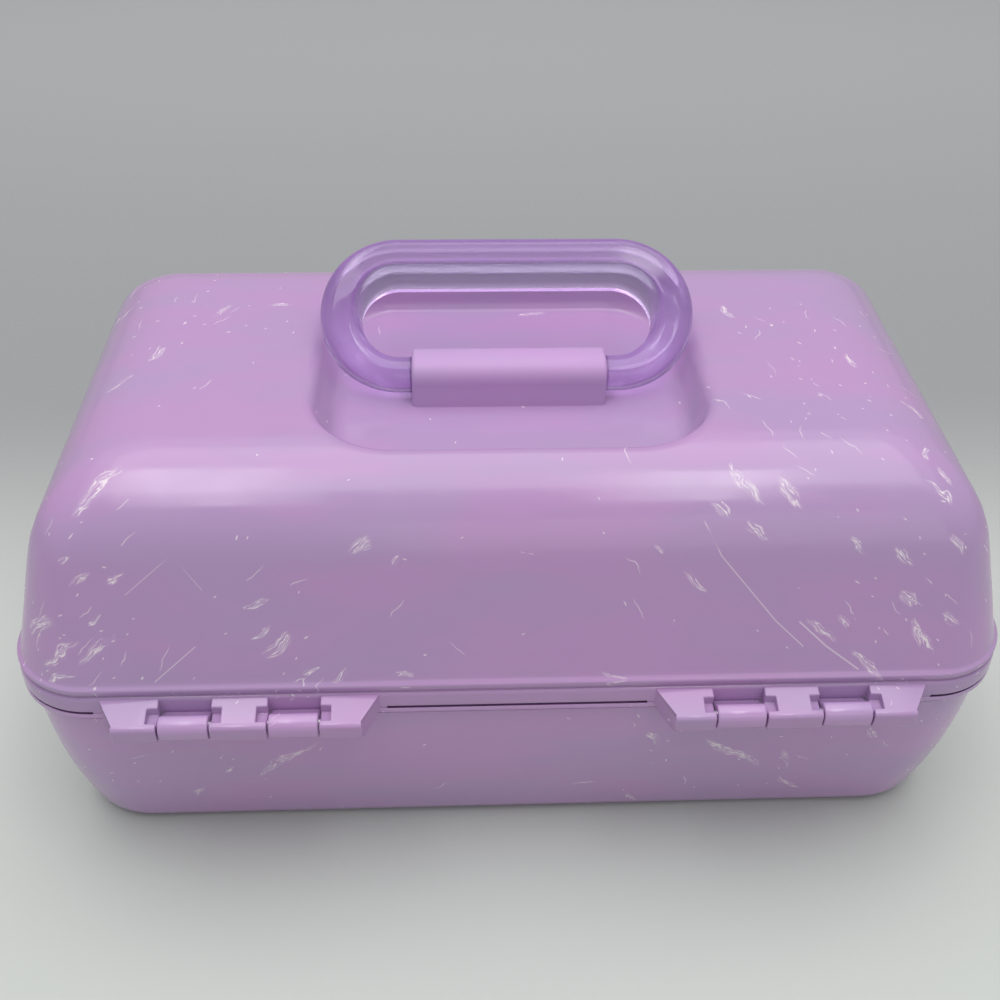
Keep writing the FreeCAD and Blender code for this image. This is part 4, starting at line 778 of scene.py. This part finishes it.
def lavender(name, crowds, marks, level, painted_light_tone=1.0, dulled=0.0):
    """Scuffed lavender plastic: uneven colour, soft gloss and pale marks that crowd in places, its colour
    made lighter or darker by a tone that paints light and shade.
    """
    paint = Paint(name)
    flat = paint.vector("MULTIPLY", paint.place, (0.35, 1.0, 1.0))
    hue = paint.ease(paint.noise(flat, 0.045, 3.0), 0.35, 0.68)
    # The tone makes lighter and darker copies of one plastic: painted light and painted shade
    plain = paint.mix(hue, *(tuple(part * painted_light_tone for part in colour) for colour in (LILAC_GREY, LILAC_PINK)))
    near = [paint.ease(paint.vector("DISTANCE", paint.place, place), radius, radius * 0.3, 0.0, share)
            for place, radius, share in crowds]
    density = paint.math("ADD", paint.most(near), level) if near else level
    wear = Wear(paint)
    wear.scattered(paint.math("MULTIPLY", density, 0.7), **FEATHERS)
    wear.scattered(density, **HAIRLINES)
    wear.scattered(density, **SPECKS)
    marks(wear)
    worn = wear.total()
    paint.set("Base Color", paint.mix(worn, plain, SCUFF_PALE))
    dull = paint.ease(paint.noise(paint.place, 0.07, 3.0), 0.35, 0.65, 0.11 + dulled, 0.2 + dulled)
    paint.set("Roughness", paint.math("ADD", dull, paint.math("MULTIPLY", worn, 0.35)))
    paint.bump(paint.noise(paint.place, 0.9, 1.0), 0.008, 0.6)
    return paint.material


def lid_marks(wear):
    for centre, half_width, half_length in LID_BLOTS:
        wear.blot(centre, BLOT_RUNS[0 if centre[0] > 0 else 1], half_width, half_length)
    for places, half_width, share in LID_SCRATCHES:
        for start, end in zip(places, places[1:]):
            wear.scratch(start, end, half_width, share)


def base_marks(wear):
    for start, end, half_width in BASE_SMEARS:
        middle = (Vector(start) + Vector(end)) / 2
        wear.blot(tuple(middle), Vector(end) - Vector(start), half_width, (Vector(end) - middle).length)


def no_marks(wear):
    pass


def speckled(name, colour, shade, roughness, metallic=0.0, stretch=(1.0, 1.0, 1.0), grain=0.02):
    """Plain moulded plastic or metal, with a fine grain and slightly uneven colour and gloss."""
    paint = Paint(name, roughness, metallic)
    place = paint.vector("MULTIPLY", paint.place, stretch)
    paint.set("Base Color", paint.mix(paint.ease(paint.noise(place, 0.05, 3.0), 0.3, 0.7), colour, shade))
    fine = paint.noise(place, 0.8, 3.0)
    paint.set("Roughness", paint.ease(fine, 0.3, 0.7, roughness * 0.8, roughness * 1.2))
    paint.bump(fine, grain, 0.5)
    return paint.material


def grip_shades(paint, tint):
    """Handle's colour, deeper at the grip, with a painted grey inside the loop and painted shade on it, and
    how far inside each point is.
    """
    lean = math.radians(BAIL_LEAN)
    radius = BAIL_HEIGHT / 2
    offset = paint.vector("SUBTRACT", paint.place, (0.0, *BAIL_PLACE))
    height = paint.vector("DOT_PRODUCT", offset, (0.0, -math.sin(lean), math.cos(lean)))
    depth = paint.vector("DOT_PRODUCT", offset, (0.0, math.cos(lean), math.sin(lean)))
    sideways = paint.math("ABSOLUTE", paint.vector("DOT_PRODUCT", offset, (1.0, 0.0, 0.0)))
    aside = paint.math("MAXIMUM", paint.math("SUBTRACT", sideways, BAIL_HALF_WIDTH - radius), 0.0)
    rise = paint.math("SUBTRACT", height, radius)
    squares = [paint.math("MULTIPLY", size, size) for size in (aside, rise)]
    reach = paint.math("SQRT", paint.math("ADD", *squares))
    ahead = paint.math("MINIMUM", paint.math("MAXIMUM", paint.math("DIVIDE", depth, GRIP_DEPTH), 0.0), 1.0)
    share = paint.math("MINIMUM", paint.math("DIVIDE", height, 2 * radius), 1.0)
    slant = paint.math("MULTIPLY", paint.math("MULTIPLY", ahead, share), GRIP_HALF * GRIP_SLANTS[0])
    beyond = paint.math("SUBTRACT", reach, slant)
    edge = radius - GRIP_HALF + 0.4
    upper = paint.ease(height, 12.0, 26.0)
    inner = paint.math("MULTIPLY", paint.ease(beyond, edge + 0.7, edge), upper)
    tint = paint.mix(paint.ease(height, 20.0, 36.0), tint, HANDLE_DEEP)
    # A dark line of painted shade runs along the inner edge of the grip's front
    line = paint.math("MULTIPLY", paint.math("MULTIPLY", paint.ease(beyond, edge + 1.7, edge + 0.9), upper),
                      paint.ease(ahead, 0.5, 0.9, 0.0, 0.7))
    # Painted shade darkens the bar where it enters the bridge, for the shadow in the gap there
    gap_shade = paint.math("MULTIPLY", paint.ease(sideways, BRIDGE_HALF + 1.1, BRIDGE_HALF + 0.3, 0.0, 0.9),
                      paint.ease(height, 8.0, 6.5))
    tint = paint.mix(paint.math("MAXIMUM", line, gap_shade), tint, HANDLE_PAINTED_DARK)
    # Inside the loop the colour is a painted grey for the backdrop seen through the clear plastic, with
    # painted shade towards the grip's front and at its back edge
    behind = paint.ease(paint.math("DIVIDE", depth, -GRIP_DEPTH), 0.8, 0.98, 0.0, 0.8)
    grey = paint.mix(paint.math("MAXIMUM", ahead, behind), HANDLE_PAINTED_GREY, HANDLE_SHADE)
    return paint.mix(inner, tint, grey), inner


def tinted_clear(name, transmission, shades=None):
    """Clear violet plastic with a faint haze of fine wear."""
    paint = Paint(name)
    haze = paint.ease(paint.noise(paint.place, 0.35, 4.0), 0.45, 0.75)
    tint = paint.mix(haze, HANDLE_VIOLET, HANDLE_PALE)
    dull = paint.math("MULTIPLY", haze, 0.2)
    if shades:
        tint, inner = shades(paint, tint)
        dull = paint.math("ADD", inner, dull)
    paint.set("Base Color", tint)
    paint.set("Roughness", paint.ease(dull, 0.0, 1.0, 0.08, 0.42))
    paint.shader.inputs["IOR"].default_value = 1.49
    paint.shader.inputs["Transmission Weight"].default_value = transmission
    return paint.material


def dress(made, *items):
    for item in items:
        item.data.materials.clear()
        item.data.materials.append(made)


LILAC_GREY, LILAC_PINK, SCUFF_PALE = (0.415, 0.278, 0.492), (0.455, 0.268, 0.505), (0.82, 0.74, 0.78)
HANDLE_VIOLET, HANDLE_PALE, HANDLE_DEEP = (0.59, 0.42, 0.74), (0.62, 0.46, 0.77), (0.47, 0.31, 0.61)
# Painted colours of the handle: grey for the backdrop seen through it, shade on that grey, and dark lines of
# shade
HANDLE_PAINTED_GREY, HANDLE_SHADE, HANDLE_PAINTED_DARK = (0.60, 0.56, 0.72), (0.32, 0.32, 0.41), (0.24, 0.13, 0.36)
FRAME_COLOURS = ((0.45, 0.288, 0.495), (0.43, 0.27, 0.48))
TRAY_COLOURS = ((0.60, 0.45, 0.66), (0.57, 0.42, 0.64))
SILVER_COLOURS = ((0.88, 0.9, 0.9), (0.84, 0.86, 0.87))
STEEL_COLOURS = ((0.52, 0.52, 0.54), (0.44, 0.44, 0.46))
RIVET_COLOURS = ((0.68, 0.68, 0.69), (0.6, 0.6, 0.62))
# How random marks lean at the two ends of the case, and backwards and up, and how a mark's strands stretch
LEAN_SIDES, LEAN_BACK_UP, STRAND_STRETCH = (-0.65, 0.5), (-0.32, 0.76), 0.11
# Kinds of marks at random places: size of the cell that holds one, half sizes, seed and how pale it is
FEATHERS = {"cell": 15.0, "half_width": 1.5, "half_length": 5.5, "seed": 11.0}
HAIRLINES = {"cell": 12.0, "half_width": 0.22, "half_length": 4.5, "seed": 41.0, "share": 0.45}
SPECKS = {"cell": 7.0, "half_width": 0.3, "half_length": 0.8, "seed": 77.0, "share": 0.55}
# Marks at set places on the lid: middle, half width and half length. They run one way on each half of it.
BLOT_RUNS = ((-0.8, -0.25, 0.55), (-0.72, 0.3, -0.62))
LID_BLOTS = (((128, 66, 142), 2.2, 8.0), ((133, 72, 138), 1.2, 5.0), ((49, 80, 128), 2.6, 5.0),
             ((38, 82, 124), 1.2, 2.5), ((76, 93, 98), 2.4, 6.0), ((81, 91, 102), 1.2, 4.5),
             ((57, 97, 88), 1.0, 4.5), ((66, 96, 90), 1.0, 3.5), ((150, 87, 103), 3.0, 6.0),
             ((144, 93, 96), 2.2, 9.0), ((132, 93, 98), 2.0, 8.0), ((135, 84, 119), 1.3, 5.0),
             ((124, 84, 119), 1.2, 4.5), ((139, 81, 125), 1.2, 3.5), ((132, 89, 107), 1.3, 3.5),
             ((-85, 70, 139), 2.4, 6.5), ((-72, 69, 140), 1.8, 6.5), ((-63, 74, 136), 1.6, 5.0),
             ((-107, 81, 126), 1.4, 4.5), ((-122, 82, 122), 1.8, 5.5), ((-124, 88, 109), 2.0, 4.5),
             ((-139, 91, 102), 2.0, 4.0), ((-132, 94, 95), 1.4, 6.0), ((-139, 81, 126), 1.8, 5.0),
             ((-133, 71, 138), 1.0, 6.0), ((-56, 85, 116), 1.6, 6.0), ((-44, 81, 126), 0.9, 3.0),
             ((-114, 97, 88), 1.6, 9.0), ((-97, 92, 100), 1.6, 7.0))
# Scratches on the lid, each through a few places, with a half width and how pale it is
LID_SCRATCHES = (
    (((-57.4, 75.9, 134.0), (-63.6, 82.0, 123.5), (-82.2, 90.7, 103.0), (-91.6, 94.2, 94.8)), 0.28, 0.5),
    (((-90.0, 90.9, 102.5), (-99.1, 94.2, 94.7), (-110.3, 97.5, 87.0)), 0.4, 0.5),
    (((121.7, 85.8, 114.5), (105.3, 80.4, 127.3)), 0.22, 0.4),
    (((105.5, 81.5, 124.9), (98.1, 85.3, 115.7)), 0.2, 0.35),
    (((115.1, 97.4, 87.3), (101.7, 92.8, 98.1)), 0.28, 0.45))
# Where the lid's marks crowd: place, radius and how thick they are
LID_CROWDS = (((138, 90, 100), 42, 0.3), ((142, 76, 128), 30, 0.25), ((85, 94, 95), 30, 0.25),
              ((-135, 88, 108), 42, 0.3), ((-108, 60, 144), 32, 0.4), ((-142, 72, 128), 26, 0.3),
              ((-120, 10, 147), 50, 0.22), ((120, -20, 147), 55, 0.22))
# Long smears on the base: start, end and half width
BASE_SMEARS = (((92.0, 94.5, 33.0), (66.0, 97.5, 56.0), 1.9),
               ((-64.0, 97.1, 53.4), (-88.0, 94.5, 33.0), 2.3),
               ((-94.6, 93.3, 26.6), (-106.0, 90.0, 13.0), 1.3))
BASE_CROWDS = (((120, 96, 50), 40, 0.2), ((-85, 96, 45), 45, 0.16), ((-130, 90, 60), 35, 0.16))

# The lid is a little darker, and the base and the bridge lighter, than one plastic: painted shade and
# painted light
dress(lavender("lid_lavender", LID_CROWDS, lid_marks, level=0.04, painted_light_tone=0.985), lid)
dress(lavender("base_lavender_painted_light", BASE_CROWDS, base_marks, level=0.04, painted_light_tone=1.09), base)
bridge_lavender_painted_light = lavender("bridge_lavender_painted_light", (), no_marks, level=0.0, painted_light_tone=1.17, dulled=0.3)
bridge_lavender_painted_light.node_tree.nodes["Principled BSDF"].inputs["Specular IOR Level"].default_value = 0.2
dress(bridge_lavender_painted_light, bridge)
dress(tinted_clear("violet_clear", 0.82, grip_shades), handle)
dress(tinted_clear("latch_clear", 0.55), latch)
# The clear handle lets the light through to the recess
handle.visible_shadow = False
dress(speckled("frame_lavender", *FRAME_COLOURS, 0.45), nodes["mirror_frame"])
dress(speckled("tray_lilac", *TRAY_COLOURS, 0.42), nodes["tray"])
dress(speckled("silvered_glass", *SILVER_COLOURS, 0.03, 1.0, grain=0.0005), nodes["mirror_glass"])
steel_names = [name for name in nodes if "_arm_" in name or "lift_link" in name or "hinge_pin" in name
               or name in ("latch_pin", "mirror_screws")]
rivet_names = [name for name in nodes if name.endswith(("rivets", "studs"))]
steel = speckled("drawn_steel", *STEEL_COLOURS, 0.32, 1.0, (1.0, 0.08, 1.0))
aluminium = speckled("rivet_aluminium", *RIVET_COLOURS, 0.28, 1.0)
dress(steel, *(nodes[name] for name in steel_names))
dress(aluminium, *(nodes[name] for name in rivet_names))


# Floor, light and camera

FLOOR_SIZE = 9000.0
# Floor colours: pale paper near the case, then painted shade beyond it, darkest just past the case
FLOOR_NEAR, FLOOR_PAINTED_FOLD_SHADE, FLOOR_PAINTED_FAR_SHADE = (0.53, 0.556, 0.53), (0.29, 0.295, 0.304), (0.352, 0.356, 0.365)
# Lamps: name, place, target, size in metres and power in watts
LAMPS = (("broad_light", (0.0, -0.3, 2.2), (0, -0.3, 0), (2.4, 2.0), 23),
         ("wide_light", (0.0, -0.6, 2.4), (0, -0.6, 0), (4.4, 3.2), 28),
         ("left_panel", (0.43, 0.4, 1.6), (0.43, 0.4, 0), (0.28, 1.15), 3.2),
         ("right_panel", (-0.38, 0.55, 1.6), (-0.38, 0.55, 0), (0.25, 0.95), 2.8),
         ("camera_side_light", (-0.4, 1.6, 0.9), (0, 0, 0.1), (1.2, 0.9), 2.0))
ROOM_COLOUR, ROOM_STRENGTH = (0.93, 0.94, 0.93, 1), 0.44
CAMERA_PLACE = Vector((0.02028, 0.34725, 0.37044))
CAMERA_YAW, CAMERA_PITCH, CAMERA_ROLL, CAMERA_LENS = 0.053, 0.698, 0.0204, 42.04


def floor_mesh():
    mesh = bmesh.new()
    bmesh.ops.create_grid(mesh, x_segments=8, y_segments=8, size=FLOOR_SIZE)
    return mesh


def floor_paint():
    """Matt paper, pale on the hinge side, with painted shade beyond the case, darkest just past it and a
    little lighter further on.
    """
    paint = Paint("paper_with_painted_shade", 0.9)
    back = paint.vector("DOT_PRODUCT", paint.place, (0.0, -1.0, 0.0))
    fine = paint.noise(paint.place, 0.4, 2.0)
    # Painted shade: the paper turns darker beyond the case, then a little lighter further back
    shade = paint.mix(paint.ease(back, -20.0, 190.0), FLOOR_NEAR, FLOOR_PAINTED_FOLD_SHADE)
    paint.set("Base Color", paint.mix(paint.ease(back, 200.0, 800.0), shade, FLOOR_PAINTED_FAR_SHADE))
    paint.set("Roughness", paint.ease(fine, 0.3, 0.7, 0.8, 0.95))
    return paint.material


floor = to_mesh_object(floor_mesh(), "floor")
dress(floor_paint(), floor)


def area_light(name, place, target, size, power):
    data = bpy.data.lights.new(name, "AREA")
    data.shape = "RECTANGLE"
    data.size, data.size_y = size
    data.energy = power
    item = bpy.data.objects.new(name, data)
    item.location = place
    item.rotation_euler = (Vector(target) - Vector(place)).to_track_quat("-Z", "Y").to_euler()
    bpy.context.scene.collection.objects.link(item)


for lamp in LAMPS:
    area_light(*lamp)

world = bpy.data.worlds.new("room")
bpy.context.scene.world = world
world.use_nodes = True
world.node_tree.nodes["Background"].inputs["Color"].default_value = ROOM_COLOUR
world.node_tree.nodes["Background"].inputs["Strength"].default_value = ROOM_STRENGTH

ahead = Vector((-math.sin(CAMERA_YAW) * math.cos(CAMERA_PITCH),
                -math.cos(CAMERA_YAW) * math.cos(CAMERA_PITCH),
                -math.sin(CAMERA_PITCH)))
level = Vector((-math.cos(CAMERA_YAW), math.sin(CAMERA_YAW), 0))
upright = level.cross(ahead)
right = level * math.cos(CAMERA_ROLL) + upright * math.sin(CAMERA_ROLL)
above = upright * math.cos(CAMERA_ROLL) - level * math.sin(CAMERA_ROLL)
camera_data = bpy.data.cameras.new("camera")
camera_data.sensor_width = 36
camera_data.lens = CAMERA_LENS
camera_data.clip_start = 0.01
camera = bpy.data.objects.new("camera", camera_data)
axes = Matrix((right, above, -ahead)).transposed().to_4x4()
camera.matrix_world = Matrix.Translation(CAMERA_PLACE) @ axes
bpy.context.scene.collection.objects.link(camera)
bpy.context.scene.camera = camera
bpy.context.scene.view_settings.view_transform = "Standard"
